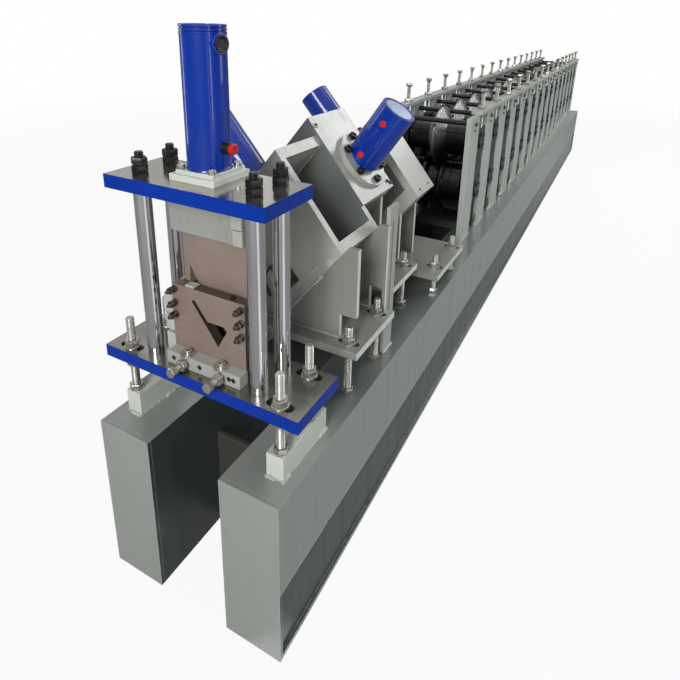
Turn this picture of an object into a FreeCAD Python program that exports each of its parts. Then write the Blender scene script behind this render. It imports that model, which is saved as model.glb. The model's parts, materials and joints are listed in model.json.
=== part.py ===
import FreeCAD, Part
import math
import os
from FreeCAD import Vector

# Roll forming machine for a steel V profile.
# X runs across the machine, +Y runs along it from the cutter to the strip entry, +Z is up.
# The origin is on the floor, midway along the base, on the centre line.

# Base of two long box beams
BEAM_HEIGHT = 450.0
BEAM_WIDTH = 155.0
BEAM_INNER_X = 104.0
BEAM_WALL = 8.0
SKIRT_RECESS = 8.0
SKIRT_HEIGHT = 205.0
SKIRT_FLANGE = 12.0
END_PLATE = 10.0
DRAIN_HOLE_RADIUS = 8.0
DRAIN_HOLE_Y = 233.0
DRAIN_HOLE_Z = 185.0
CROSS_PLATE = 12.0
CROSS_PLATE_HEIGHT = 300.0
CROSS_PLATE_COUNT = 7
FIRST_CROSS_Y = 243.0

# Rows of roll stands
ROW_START = 1533.0
BAY_PITCH = 279.0
BAY_COUNT = 15
COLUMN_WIDTH = 142.0
COLUMN_THICKNESS = 20.0
COLUMN_OUTER_X = 186.0
ROW_END_MARGIN = 100.0
CAP_WIDTH = 48.0
CAP_THICKNESS = 16.0
CAP_LAP = 15.0
CAP_GAP = 3.0
CAP_CENTRE_X = 174.0
TIE_BAR_RADIUS = 11.0
TIE_BAR_DROP = 31.0
BOLT_RADIUS = 9.0
BOLT_HEAD_FLAT = 27.0
BOLT_HEAD_HEIGHT = 13.0
BOLT_RISE = 85.0
BOLT_NUT_FLAT = 32.0
BOLT_NUT_HEIGHT = 15.0
BOLT_HOLE_CLEARANCE = 0.5

# Shafts, rolls and bearing blocks
LOWER_SHAFT_RISE = 201.0
SHAFT_SPACING = 229.0
WINDOW_HEADROOM = 69.0
SHAFT_RADIUS = 22.0
SHAFT_RUNNING = 0.8
SHAFT_END_GAP = 2.0
ROLL_RADIUS = 134.0
ROLL_HALF_WIDTH = 38.0
ROLL_FLANK_DROP = 60.0
ROLL_BODY_HALF = 132.0
UPPER_BODY_RADIUS = 70.0
LOWER_BODY_RADIUS = 118.0
ROLL_GAP = 6.0
ROLL_RIM_HALF = 4.0
GROOVE_RIM = 14.0
BLOCK_HEIGHT = 110.0
BLOCK_OUTER_X = 182.0
BLOCK_DEPTH = 42.0
BLOCK_SLIDE = 0.5
COVER_RADIUS = 40.0
COVER_THICKNESS = 6.0
COVER_LIP = 12.0
SEAT_CLEARANCE = 0.3

# Cutter
CUTTER_CENTRE_Y = 137.0
CUTTER_BAR_X = 208.0
CUTTER_BAR_FRONT = 62.0
CUTTER_BAR_WIDTH = 43.0
CUTTER_BAR_HEIGHT = 60.0
CUTTER_BAR_LENGTH = 185.0
LOWER_PLATE_RISE = 180.0
LOWER_PLATE_X = 546.0
LOWER_PLATE_Y = 170.0
TOP_PLATE_CENTRE_Y = 131.0
TOP_PLATE_X = 412.0
TOP_PLATE_Y = 170.0
CUTTER_PLATE = 30.0
POST_RADIUS = 19.0
POST_LENGTH = 410.0
POST_X = 149.0
POST_CENTRE_Y = 139.0
POST_Y = 44.5
POST_THREAD_RADIUS = 10.0
POST_NUT_FLAT = 30.0
POST_NUT_HEIGHT = 34.0
POST_THREAD_RISE = 46.0
CUTTER_STUD_X = 213.0
CUTTER_STUD_Y = 58.0
CUTTER_STUD_RISE = 78.0
CUTTER_SLOT_LENGTH = 66.0
SLOT_LENGTH = 50.0
SLOT_WIDTH = 24.0

# Cutting die and blade
DIE_CENTRE_X = 8.0
DIE_HALF_WIDTH = 100.0
DIE_HEIGHT = 189.0
DIE_FRONT_Y = 104.0
DIE_FRONT_THICKNESS = 25.0
DIE_REAR_THICKNESS = 25.0
BLADE_THICKNESS = 20.0
BLADE_SIDE_GAP = 5.0
DIE_CHEEK = 6.0
DIE_BLOCK_HALF_WIDTH = 103.0
DIE_BLOCK_DEPTH = 28.0
DIE_BLOCK_HEIGHT = 30.0
DIE_VERTEX_X = 24.0
DIE_VERTEX_RISE = 63.0
DIE_ARM_X = -45.0
DIE_ARM_RISE = 157.0
DIE_ARM_GAP = 7.0
DIE_INNER_X = -3.0
DIE_INNER_RISE = 119.0
DIE_RIGHT_X = 51.0
DIE_RIGHT_RISE = 110.0
DIE_RIGHT_CHAMFER = 9.0
HOLDER_HALF_WIDTH = 97.0
HOLDER_HEIGHT = 96.0
HOLDER_THICKNESS = 54.0
BLADE_HALF_WIDTH = 88.0
BLADE_REST_DEPTH = 13.0
BLADE_SHEAR_RISE = 6.0
BLADE_NOTCH_INSET = 16.0
BLADE_NOTCH_WIDTH = 28.0
BLADE_NOTCH_HEIGHT = 48.0
BLADE_OVERTRAVEL = 5.0
ROD_RADIUS = 21.0
PISTON_RADIUS = 35.0
PISTON_HEIGHT = 24.0
STROKE_MARGIN = 12.0

# Hydraulic cylinders
PRESS_BARREL_RADIUS = 52.5
CUTTER_BARREL_RADIUS = 46.0
CUTTER_BORE_RADIUS = 36.0
BARREL_END = 16.0
CUTTER_FLANGE = 116.0
CUTTER_FLANGE_THICKNESS = 14.0
CUTTER_COLLAR = 97.0
CUTTER_COLLAR_THICKNESS = 8.0
CUTTER_BARREL_LENGTH = 283.0
PORT_RADIUS = 13.0
PORT_REACH = 6.0
LOW_PORT_RISE = 47.0
HIGH_PORT_DROP = 35.0

# V presses
PRESS_SLOPE = 51.0
PRESS_CENTRE_RISE = 402.0
PRESS_PLATE = 30.0
STROKE_HALF = 155.0
CROSS_HALF = 134.0
PRESS_1_Y = 400.0
PRESS_1_DEPTH = 200.0
PRESS_2_DEPTH = 215.0
PRESS_END_PLATE = 20.0
PRESS_2_LOW = 82.0
PRESS_2_HIGH = 207.0
PRESS_2_CROSS = 144.0
PRESS_3_Y = 975.0
PRESS_3_DEPTH = 165.0
PRESS_3_CROSS = 101.0
THROAT_X = 4.0
THROAT_LOW_DROP = 178.0
THROAT_SIDE_DROP = 117.0
THROAT_TOP_DROP = 55.0
THROAT_HALF = 56.0
FLANGE_RADIUS = 90.0
FLANGE_THICKNESS = 15.0
RIGHT_BARREL = 200.0
LEFT_BARREL = 245.0
LEFT_LEAN = 49.0
RIGHT_LEAN = 56.0
LEFT_CYLINDER_OFFSET = -48.0
RIGHT_CYLINDER_OFFSET = -30.0
RIGHT_CYLINDER_INSET = 122.5
COVER_PLATE = 15.0

# Stands and base plates under the presses
STAND_PLATE = 15.0
STAND_HALF_WIDTH = 226.0
STAND_FOOT_HALF = 178.0
STAND_SHOULDER_RISE = 4.0
STAND_NOTCH_DROP = 184.0
STAND_LEG = 10.0
CRADLE_HALF_WIDTH = 110.0
BASE_PLATE = 20.0
NEAR_PLATE_RISE = 150.0
NEAR_PLATE_Y = 358.0
NEAR_PLATE_DEPTH = 244.0
NEAR_PLATE_HALF = 252.0
MID_PLATE_Y = 723.0
MID_PLATE_DEPTH = 217.0
MID_PLATE_HALF = 197.0
FAR_PLATE_RISE = 100.0
FAR_PLATE_Y = 975.0
FAR_PLATE_DEPTH = 315.0
FAR_PLATE_HALF = 262.0
STUD_RADIUS = 10.0
STUD_NUT_FLAT = 30.0
STUD_NUT_HEIGHT = 16.0
STUD_WASHER_RADIUS = 19.0
STUD_WASHER = 3.0
STUD_RISE = 46.0
NEAR_STUD_X = 212.0
MID_STUD_X = 159.0
FAR_STUD_X = 226.0
STUD_INSET = 36.0
SLOT_BAR_X = 213.0
SLOT_BAR_THICKNESS = 10.0
SLOT_BAR_WIDTH = 60.0
SLOT_BAR_HEIGHT = 455.0
SLOT_BAR_SLOT_WIDTH = 12.0
SLOT_BAR_SLOT_LENGTH = 330.0
SLOT_BAR_MARGIN = 45.0

# Sizes worked out from the ones above
ROW_LENGTH = BAY_COUNT * BAY_PITCH + COLUMN_WIDTH
BASE_LENGTH = ROW_START + ROW_LENGTH + ROW_END_MARGIN
FRONT = -BASE_LENGTH / 2
BEAM_OUTER_X = BEAM_INNER_X + BEAM_WIDTH
LOWER_SHAFT_Z = BEAM_HEIGHT + LOWER_SHAFT_RISE
UPPER_SHAFT_Z = LOWER_SHAFT_Z + SHAFT_SPACING
COLUMN_TOP_Z = UPPER_SHAFT_Z + BLOCK_HEIGHT / 2 + WINDOW_HEADROOM
WINDOW_WIDTH = BAY_PITCH - COLUMN_WIDTH
LOWER_PLATE_TOP_Z = BEAM_HEIGHT + LOWER_PLATE_RISE
TOP_PLATE_Z = LOWER_PLATE_TOP_Z + POST_LENGTH
TOP_PLATE_TOP_Z = TOP_PLATE_Z + CUTTER_PLATE
DIE_TOP_Z = LOWER_PLATE_TOP_Z + DIE_HEIGHT
BLADE_TIP_Z = DIE_TOP_Z - BLADE_REST_DEPTH
BLADE_STROKE = BLADE_TIP_Z - LOWER_PLATE_TOP_Z - DIE_VERTEX_RISE + BLADE_OVERTRAVEL
BLADE_Y = DIE_FRONT_Y + DIE_FRONT_THICKNESS + BLADE_SIDE_GAP
REAR_DIE_Y = BLADE_Y + BLADE_THICKNESS + BLADE_SIDE_GAP
PRESS_2_Y = PRESS_1_Y + PRESS_1_DEPTH
PRESS_CENTRE_Z = BEAM_HEIGHT + PRESS_CENTRE_RISE
STAND_SHOULDER_Z = PRESS_CENTRE_Z + STAND_SHOULDER_RISE
STAND_NOTCH_Z = PRESS_CENTRE_Z - STAND_NOTCH_DROP
NEAR_PLATE_TOP_Z = BEAM_HEIGHT + NEAR_PLATE_RISE
FAR_PLATE_TOP_Z = BEAM_HEIGHT + FAR_PLATE_RISE
SLOPE_X = math.cos(math.radians(PRESS_SLOPE))
SLOPE_Z = math.sin(math.radians(PRESS_SLOPE))
GROOVE_ROOT = SHAFT_SPACING - ROLL_RADIUS - ROLL_GAP


def box(x0, x1, y0, y1, z0, z1):
    """A box between two corners, with y measured from the front end of the base."""
    return Part.makeBox(x1 - x0, y1 - y0, z1 - z0, Vector(x0, FRONT + y0, z0))


def round_bar(radius, start, end):
    """A round bar between two points, with y measured from the front end of the base."""
    a = Vector(start[0], FRONT + start[1], start[2])
    b = Vector(end[0], FRONT + end[1], end[2])
    return Part.makeCylinder(radius, (b - a).Length, a, b - a)


def prism(points, y0, y1):
    """A flat outline in X and Z, carried from y0 to y1."""
    corners = [Vector(x, FRONT + y0, z) for x, z in points]
    face = Part.Face(Part.makePolygon(corners + corners[:1]))
    return face.extrude(Vector(0, y1 - y0, 0))


def hexagon(flat, x, y, z0, z1):
    """An upright hexagonal nut or head, given across its flats."""
    reach = flat / math.sqrt(3)
    turns = [math.radians(60 * i) for i in range(6)]
    corners = [Vector(x + reach * math.cos(a), FRONT + y + reach * math.sin(a), z0) for a in turns]
    face = Part.Face(Part.makePolygon(corners + corners[:1]))
    return face.extrude(Vector(0, 0, z1 - z0))


def slot(x, y, length, width, z0, z1):
    """A slot along X with round ends."""
    half = (length - width) / 2
    middle = box(x - half, x + half, y - width / 2, y + width / 2, z0, z1)
    ends = [round_bar(width / 2, (x + s * half, y, z0), (x + s * half, y, z1)) for s in (-1, 1)]
    return middle.fuse(ends)


def press_point(stroke, cross):
    """Place in X and Z from a distance down to the right and one up to the right."""
    return (SLOPE_X * (stroke + cross), PRESS_CENTRE_Z + SLOPE_Z * (cross - stroke))


def press_panel(t0, t1, w0, w1, y0, y1):
    """A four-sided panel of a press, between two strokes and two cross distances."""
    corners = [press_point(t, w) for t, w in ((t0, w0), (t1, w0), (t1, w1), (t0, w1))]
    return prism(corners, y0, y1)


def mirrored(shape):
    """The same shape on the other side of the centre line."""
    return shape.mirror(Vector(0, 0, 0), Vector(1, 0, 0))


def both_sides(shapes):
    """The shapes and their mirror images."""
    return shapes + [mirrored(s) for s in shapes]


def save(node, shapes):
    """Write one node, of one or more separate solids."""
    solids = []
    for shape in shapes:
        solids += shape.removeSplitter().Solids
    assert solids and all(s.isValid() for s in solids), node
    whole = solids[0] if len(solids) == 1 else Part.makeCompound(solids)
    whole.exportStep("parts/" + node + ".step")


def beam():
    """The right-hand box beam, with its outer face stepped in along the foot."""
    skirt = BEAM_OUTER_X - SKIRT_RECESS
    outer = [(BEAM_INNER_X, 0), (BEAM_OUTER_X, 0), (BEAM_OUTER_X, SKIRT_FLANGE), (skirt, SKIRT_FLANGE),
             (skirt, SKIRT_HEIGHT), (BEAM_OUTER_X, SKIRT_HEIGHT), (BEAM_OUTER_X, BEAM_HEIGHT),
             (BEAM_INNER_X, BEAM_HEIGHT)]
    low = SKIRT_FLANGE
    high = BEAM_HEIGHT - BEAM_WALL
    step = SKIRT_HEIGHT + BEAM_WALL
    inner = [(BEAM_INNER_X + BEAM_WALL, low), (skirt - BEAM_WALL, low), (skirt - BEAM_WALL, step),
             (BEAM_OUTER_X - BEAM_WALL, step), (BEAM_OUTER_X - BEAM_WALL, high),
             (BEAM_INNER_X + BEAM_WALL, high)]
    y0 = END_PLATE
    y1 = BASE_LENGTH - END_PLATE
    tube = prism(outer, y0, y1).cut(prism(inner, y0, y1))
    drain = round_bar(DRAIN_HOLE_RADIUS, (skirt - 2 * BEAM_WALL, DRAIN_HOLE_Y, DRAIN_HOLE_Z),
                      (BEAM_OUTER_X, DRAIN_HOLE_Y, DRAIN_HOLE_Z))
    return tube.cut(drain)


def base():
    """The two beams, their end plates and the cross plates between them."""
    right = beam()
    save("base_beam_right", [right])
    save("base_beam_left", [mirrored(right)])
    ends = []
    for y in (0, BASE_LENGTH - END_PLATE):
        ends.append(box(BEAM_INNER_X, BEAM_OUTER_X, y, y + END_PLATE, 0, BEAM_HEIGHT))
    save("beam_end_plates", both_sides(ends))
    plates = []
    last = BASE_LENGTH - FIRST_CROSS_Y
    for i in range(CROSS_PLATE_COUNT):
        y = FIRST_CROSS_Y + (last - FIRST_CROSS_Y) * i / (CROSS_PLATE_COUNT - 1)
        plates.append(box(-BEAM_INNER_X, BEAM_INNER_X, y - CROSS_PLATE / 2, y + CROSS_PLATE / 2,
                          0, CROSS_PLATE_HEIGHT))
    save("cross_plates", plates)


def stud(x, y, foot_z, plate_z, plate_top_z, rise):
    """A levelling stud, with a foot nut and a nut under and over the plate that it carries."""
    bar = round_bar(STUD_RADIUS, (x, y, foot_z), (x, y, plate_top_z + rise))
    foot = hexagon(STUD_NUT_FLAT, x, y, foot_z, foot_z + STUD_NUT_HEIGHT)
    washer = round_bar(STUD_WASHER_RADIUS, (x, y, plate_top_z), (x, y, plate_top_z + STUD_WASHER))
    over = hexagon(STUD_NUT_FLAT, x, y, plate_top_z + STUD_WASHER,
                   plate_top_z + STUD_WASHER + STUD_NUT_HEIGHT)
    under = hexagon(STUD_NUT_FLAT, x, y, plate_z - STUD_NUT_HEIGHT - STUD_WASHER, plate_z - STUD_WASHER)
    low_washer = round_bar(STUD_WASHER_RADIUS, (x, y, plate_z - STUD_WASHER), (x, y, plate_z))
    return bar.fuse([foot, washer, over, under, low_washer])


def levelled_plate(half, y0, depth, top_z, thickness, places, foot_z, slot_length, rise):
    """A plate on studs: returns the slotted plate and its studs, on both sides."""
    plate = box(-half, half, y0, y0 + depth, top_z - thickness, top_z)
    studs = []
    for x, y in places:
        for side in (-1, 1):
            plate = plate.cut(slot(side * x, y, slot_length, SLOT_WIDTH, top_z - thickness, top_z))
            studs.append(stud(side * x, y, foot_z, top_z - thickness, top_z, rise))
    return plate, studs


def carriers():
    """Every levelled plate and the studs that carry it."""
    near_y = (NEAR_PLATE_Y + STUD_INSET, NEAR_PLATE_Y + NEAR_PLATE_DEPTH - STUD_INSET)
    near, near_studs = levelled_plate(NEAR_PLATE_HALF, NEAR_PLATE_Y, NEAR_PLATE_DEPTH, NEAR_PLATE_TOP_Z,
                                      BASE_PLATE, [(NEAR_STUD_X, y) for y in near_y], BEAM_HEIGHT,
                                      SLOT_LENGTH, STUD_RISE)
    mid_y = (MID_PLATE_Y + STUD_INSET, MID_PLATE_Y + MID_PLATE_DEPTH - STUD_INSET)
    mid, mid_studs = levelled_plate(MID_PLATE_HALF, MID_PLATE_Y, MID_PLATE_DEPTH, NEAR_PLATE_TOP_Z,
                                    BASE_PLATE, [(MID_STUD_X, y) for y in mid_y], BEAM_HEIGHT,
                                    SLOT_LENGTH, STUD_RISE)
    far_y = (FAR_PLATE_Y + 2 * STUD_INSET, FAR_PLATE_Y + FAR_PLATE_DEPTH - STUD_INSET)
    far, far_studs = levelled_plate(FAR_PLATE_HALF, FAR_PLATE_Y, FAR_PLATE_DEPTH, FAR_PLATE_TOP_Z,
                                    BASE_PLATE, [(FAR_STUD_X, y) for y in far_y], BEAM_HEIGHT,
                                    SLOT_LENGTH, STUD_RISE)
    bar_top = BEAM_HEIGHT + CUTTER_BAR_HEIGHT
    cutter_y = (CUTTER_CENTRE_Y - CUTTER_STUD_Y, CUTTER_CENTRE_Y + CUTTER_STUD_Y)
    cutter, cutter_studs = levelled_plate(LOWER_PLATE_X / 2, CUTTER_CENTRE_Y - LOWER_PLATE_Y / 2,
                                          LOWER_PLATE_Y, LOWER_PLATE_TOP_Z, CUTTER_PLATE,
                                          [(CUTTER_STUD_X, y) for y in cutter_y], bar_top,
                                          CUTTER_SLOT_LENGTH, CUTTER_STUD_RISE)
    save("press_base_plates", [near, mid, far])
    save("cutter_lower_plate", [cutter])
    save("levelling_studs", near_studs + mid_studs + far_studs + cutter_studs)


def cutter_bars():
    """Bars on the beams that the cutter's studs stand on."""
    x0 = CUTTER_BAR_X - CUTTER_BAR_WIDTH / 2
    x1 = CUTTER_BAR_X + CUTTER_BAR_WIDTH / 2
    y1 = CUTTER_BAR_FRONT + CUTTER_BAR_LENGTH
    bar = box(x0, x1, CUTTER_BAR_FRONT, y1, BEAM_HEIGHT, BEAM_HEIGHT + CUTTER_BAR_HEIGHT)
    save("cutter_support_bars", both_sides([bar]))


def cutter_posts():
    """Four guide posts, each drawn down to a thread that holds a nut over the top plate."""
    posts = []
    nuts = []
    for x in (-POST_X, POST_X):
        for y in (POST_CENTRE_Y - POST_Y, POST_CENTRE_Y + POST_Y):
            post = round_bar(POST_RADIUS, (x, y, LOWER_PLATE_TOP_Z), (x, y, TOP_PLATE_Z))
            thread_top = TOP_PLATE_TOP_Z + POST_THREAD_RISE
            thread = round_bar(POST_THREAD_RADIUS, (x, y, TOP_PLATE_Z), (x, y, thread_top))
            posts.append(post.fuse(thread))
            nut = hexagon(POST_NUT_FLAT, x, y, TOP_PLATE_TOP_Z, TOP_PLATE_TOP_Z + POST_NUT_HEIGHT)
            nuts.append(nut.cut(thread))
    save("cutter_guide_posts", posts)
    save("cutter_post_nuts", nuts)


def cutter_top():
    """The top plate, with a hole for the ram and for each post's thread."""
    y0 = TOP_PLATE_CENTRE_Y - TOP_PLATE_Y / 2
    plate = box(-TOP_PLATE_X / 2, TOP_PLATE_X / 2, y0, y0 + TOP_PLATE_Y, TOP_PLATE_Z, TOP_PLATE_TOP_Z)
    rod_y = BLADE_Y + BLADE_THICKNESS / 2
    holes = [round_bar(ROD_RADIUS + SHAFT_RUNNING, (0, rod_y, TOP_PLATE_Z), (0, rod_y, TOP_PLATE_TOP_Z))]
    for x in (-POST_X, POST_X):
        for y in (POST_CENTRE_Y - POST_Y, POST_CENTRE_Y + POST_Y):
            holes.append(round_bar(POST_THREAD_RADIUS, (x, y, TOP_PLATE_Z), (x, y, TOP_PLATE_TOP_Z)))
    save("cutter_top_plate", [plate.cut(holes)])


def die_opening(y0, y1):
    """The opening of the profile: a thin left arm that widens into a solid right half."""
    arm_top = (DIE_ARM_X + DIE_ARM_GAP, DIE_ARM_RISE + DIE_ARM_GAP)
    right_top = (DIE_RIGHT_X - DIE_RIGHT_CHAMFER, DIE_RIGHT_RISE + DIE_RIGHT_CHAMFER)
    outline = [(DIE_ARM_X, DIE_ARM_RISE), (DIE_VERTEX_X, DIE_VERTEX_RISE),
               (DIE_RIGHT_X, DIE_RIGHT_RISE), right_top, (DIE_INNER_X, DIE_INNER_RISE), arm_top]
    return prism([(DIE_CENTRE_X + x, LOWER_PLATE_TOP_Z + z) for x, z in outline], y0, y1)


def die_set():
    """The two die plates with the blade's space between them, and the blocks that clamp them."""
    left = DIE_CENTRE_X - DIE_HALF_WIDTH
    right = DIE_CENTRE_X + DIE_HALF_WIDTH
    front_back = DIE_FRONT_Y + DIE_FRONT_THICKNESS
    rear_back = REAR_DIE_Y + DIE_REAR_THICKNESS
    front = box(left, right, DIE_FRONT_Y, front_back, LOWER_PLATE_TOP_Z, DIE_TOP_Z)
    rear = box(left, right, REAR_DIE_Y, rear_back, LOWER_PLATE_TOP_Z, DIE_TOP_Z)
    save("die_front_plate", [front.cut(die_opening(DIE_FRONT_Y, front_back))])
    save("die_rear_plate", [rear.cut(die_opening(REAR_DIE_Y, rear_back))])
    block = box(DIE_CENTRE_X - DIE_BLOCK_HALF_WIDTH, DIE_CENTRE_X + DIE_BLOCK_HALF_WIDTH,
                DIE_FRONT_Y - DIE_BLOCK_DEPTH, DIE_FRONT_Y,
                LOWER_PLATE_TOP_Z, LOWER_PLATE_TOP_Z + DIE_BLOCK_HEIGHT)
    cheeks = [box(x, x + DIE_CHEEK, front_back, REAR_DIE_Y, LOWER_PLATE_TOP_Z, DIE_TOP_Z)
              for x in (left, right - DIE_CHEEK)]
    save("die_clamp_blocks", [block] + cheeks)


def cutter_ram():
    """The blade, the holder that carries it, and the rod and piston that drive them."""
    rod_y = BLADE_Y + BLADE_THICKNESS / 2
    holder_top = TOP_PLATE_Z - SEAT_CLEARANCE
    holder_z = holder_top - HOLDER_HEIGHT
    holder = box(-HOLDER_HALF_WIDTH, HOLDER_HALF_WIDTH, rod_y - HOLDER_THICKNESS / 2,
                 rod_y + HOLDER_THICKNESS / 2, holder_z, holder_top)
    piston_z = TOP_PLATE_TOP_Z + CUTTER_FLANGE_THICKNESS + BLADE_STROKE + 2 * STROKE_MARGIN
    rod = round_bar(ROD_RADIUS, (0, rod_y, holder_top), (0, rod_y, piston_z))
    piston = round_bar(PISTON_RADIUS, (0, rod_y, piston_z), (0, rod_y, piston_z + PISTON_HEIGHT))
    save("blade_holder", [holder.fuse([rod, piston])])
    left = DIE_CENTRE_X - BLADE_HALF_WIDTH
    right = DIE_CENTRE_X + BLADE_HALF_WIDTH
    notch_left = left + BLADE_NOTCH_INSET
    notch_right = notch_left + BLADE_NOTCH_WIDTH
    edge_z = BLADE_TIP_Z + BLADE_SHEAR_RISE
    outline = [(left, holder_z), (left, edge_z), (notch_left, edge_z),
               (notch_left, edge_z + BLADE_NOTCH_HEIGHT), (notch_right, edge_z),
               (DIE_CENTRE_X, BLADE_TIP_Z), (right, edge_z), (right, holder_z)]
    save("cutter_blade", [prism(outline, BLADE_Y, BLADE_Y + BLADE_THICKNESS)])


def cutter_cylinder():
    """The upright cylinder on the top plate, hollow for its piston."""
    y = BLADE_Y + BLADE_THICKNESS / 2
    z = TOP_PLATE_TOP_Z
    half = CUTTER_FLANGE / 2
    flange = box(-half, half, y - half, y + half, z, z + CUTTER_FLANGE_THICKNESS)
    collar_z = z + CUTTER_FLANGE_THICKNESS
    half = CUTTER_COLLAR / 2
    collar = box(-half, half, y - half, y + half, collar_z, collar_z + CUTTER_COLLAR_THICKNESS)
    barrel_z = collar_z + CUTTER_COLLAR_THICKNESS
    top = barrel_z + CUTTER_BARREL_LENGTH
    barrel = round_bar(CUTTER_BARREL_RADIUS, (0, y, barrel_z), (0, y, top))
    bore = round_bar(CUTTER_BORE_RADIUS, (0, y, collar_z), (0, y, top - BARREL_END))
    neck = round_bar(ROD_RADIUS + SHAFT_RUNNING, (0, y, z), (0, y, collar_z))
    reach = CUTTER_BARREL_RADIUS + PORT_REACH
    ports = [round_bar(PORT_RADIUS, (0, y, port_z), (reach, y, port_z))
             for port_z in (barrel_z + LOW_PORT_RISE, top - HIGH_PORT_DROP)]
    save("cutter_cylinder", [flange.fuse([collar, barrel] + ports).cut(bore.fuse(neck))])


def throat(y0, y1):
    """The passage through a press that the profile runs in."""
    z = PRESS_CENTRE_Z
    outline = [(THROAT_X, z - THROAT_LOW_DROP), (THROAT_X + THROAT_HALF, z - THROAT_SIDE_DROP),
               (THROAT_X, z - THROAT_TOP_DROP), (THROAT_X - THROAT_HALF, z - THROAT_SIDE_DROP)]
    return prism(outline, y0, y1)


def end_plate(t0, t1, high, y0):
    """A plate across the machine at one end of a press."""
    return press_panel(t0, t1, -CROSS_HALF, high, y0, y0 + PRESS_END_PLATE)


def press_frames():
    """The welded plate frames: two presses in one near frame, and one in the far frame."""
    p = PRESS_PLATE
    e = PRESS_END_PLATE
    s = STROKE_HALF
    c = CROSS_HALF
    c2 = PRESS_2_CROSS
    near_back = PRESS_2_Y + PRESS_2_DEPTH
    first = end_plate(-s, s, c, PRESS_1_Y)
    middle = end_plate(-s, s, c, PRESS_2_Y).fuse(end_plate(-PRESS_2_HIGH, PRESS_2_LOW, c2, PRESS_2_Y))
    last = end_plate(-PRESS_2_HIGH, PRESS_2_LOW, c2, near_back - e)
    head_1 = press_panel(-s, p - s, -c, c, PRESS_1_Y + e, PRESS_2_Y)
    anvil_1 = press_panel(s - p, s, -c, c, PRESS_1_Y + e, PRESS_2_Y)
    head_2 = press_panel(-PRESS_2_HIGH, PRESS_2_LOW, c2 - p, c2, PRESS_2_Y + e, near_back - e)
    anvil_2 = press_panel(-PRESS_2_HIGH, PRESS_2_LOW, -c, p - c, PRESS_2_Y + e, near_back - e)
    near = first.fuse([middle, last, head_1, anvil_1, head_2, anvil_2])
    save("press_frame_near", [near.cut(throat(PRESS_1_Y, near_back))])
    far_back = PRESS_3_Y + PRESS_3_DEPTH
    c3 = PRESS_3_CROSS
    first = end_plate(-s, s, c3, PRESS_3_Y)
    last = end_plate(-s, s, c3, far_back - e)
    head = press_panel(-s, p - s, -c, c3, PRESS_3_Y + e, far_back - e)
    anvil = press_panel(s - p, s, -c, c3, PRESS_3_Y + e, far_back - e)
    save("press_frame_far", [first.fuse([last, head, anvil]).cut(throat(PRESS_3_Y, far_back))])
    cover = press_panel(-s, s, c3, c3 + COVER_PLATE, PRESS_3_Y, far_back)
    save("press_cover_plate", [cover])


def press_cylinder(node, y, stroke, cross, leftward, length):
    """A flanged cylinder on a slanted plate: it leans out to the left or to the right."""
    reach = 2 * FLANGE_RADIUS
    if leftward:
        lean = math.radians(180 - LEFT_LEAN)
        normal = Vector(-SLOPE_Z, 0, SLOPE_X)
        behind = press_panel(stroke, stroke + reach, cross - reach, cross + reach, y - reach, y + reach)
    else:
        lean = math.radians(RIGHT_LEAN)
        normal = Vector(SLOPE_Z, 0, SLOPE_X)
        behind = press_panel(stroke - reach, stroke + reach, cross - reach, cross, y - reach, y + reach)
    foot = press_point(stroke, cross)
    way = (math.cos(lean), math.sin(lean))
    root = [foot[i] - PRESS_BARREL_RADIUS * way[i] for i in (0, 1)]
    tip = [foot[i] + length * way[i] for i in (0, 1)]
    barrel = round_bar(PRESS_BARREL_RADIUS, (root[0], y, root[1]), (tip[0], y, tip[1]))
    rim = Part.makeCircle(FLANGE_RADIUS, Vector(foot[0], FRONT + y, foot[1]), normal)
    flange = Part.Face(Part.Wire(rim)).extrude(Vector(way[0], 0, way[1]) * FLANGE_THICKNESS)
    save(node, [flange.fuse(barrel.cut(behind))])


def presses():
    """The three slanted cylinders."""
    y1 = PRESS_1_Y + FLANGE_RADIUS
    y2 = PRESS_2_Y + RIGHT_CYLINDER_INSET
    y3 = PRESS_3_Y + PRESS_3_DEPTH / 2
    left = LEFT_CYLINDER_OFFSET
    press_cylinder("press_cylinder_1", y1, -STROKE_HALF, left, True, LEFT_BARREL)
    press_cylinder("press_cylinder_2", y2, RIGHT_CYLINDER_OFFSET, PRESS_2_CROSS, False, RIGHT_BARREL)
    press_cylinder("press_cylinder_3", y3, -STROKE_HALF, left, True, LEFT_BARREL)


def shouldered_stand(y, legs):
    """A wide plate under the first press, cut to its two lower slopes, with or without legs."""
    rise = STAND_SHOULDER_RISE / SLOPE_Z
    left = press_point(-CROSS_HALF - rise, -CROSS_HALF)[0]
    right = press_point(STROKE_HALF, rise + STROKE_HALF)[0]
    w = STAND_HALF_WIDTH
    f = STAND_FOOT_HALF
    top = STAND_SHOULDER_Z
    low = NEAR_PLATE_TOP_Z
    plate = prism([(-w, low), (-w, top), (left, top), press_point(STROKE_HALF, -CROSS_HALF),
                   (right, top), (w, top), (w, low)], y, y + STAND_PLATE)
    outer = w - STAND_LEG if legs else w
    notches = both_sides([box(f, outer, y, y + STAND_PLATE, low, STAND_NOTCH_Z)])
    return plate.cut(notches + [throat(y, y + STAND_PLATE)])


def cradle(y, base_z, low_stroke):
    """A narrow plate that carries the lower corner of a press."""
    w = CRADLE_HALF_WIDTH
    corner = press_point(low_stroke, -CROSS_HALF)
    left_z = corner[1] + (corner[0] + w) * SLOPE_Z / SLOPE_X
    right_z = corner[1] + (w - corner[0]) * SLOPE_Z / SLOPE_X
    plate = prism([(-w, base_z), (-w, left_z), corner, (w, right_z), (w, base_z)], y, y + STAND_PLATE)
    return plate.cut(throat(y, y + STAND_PLATE))


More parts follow.
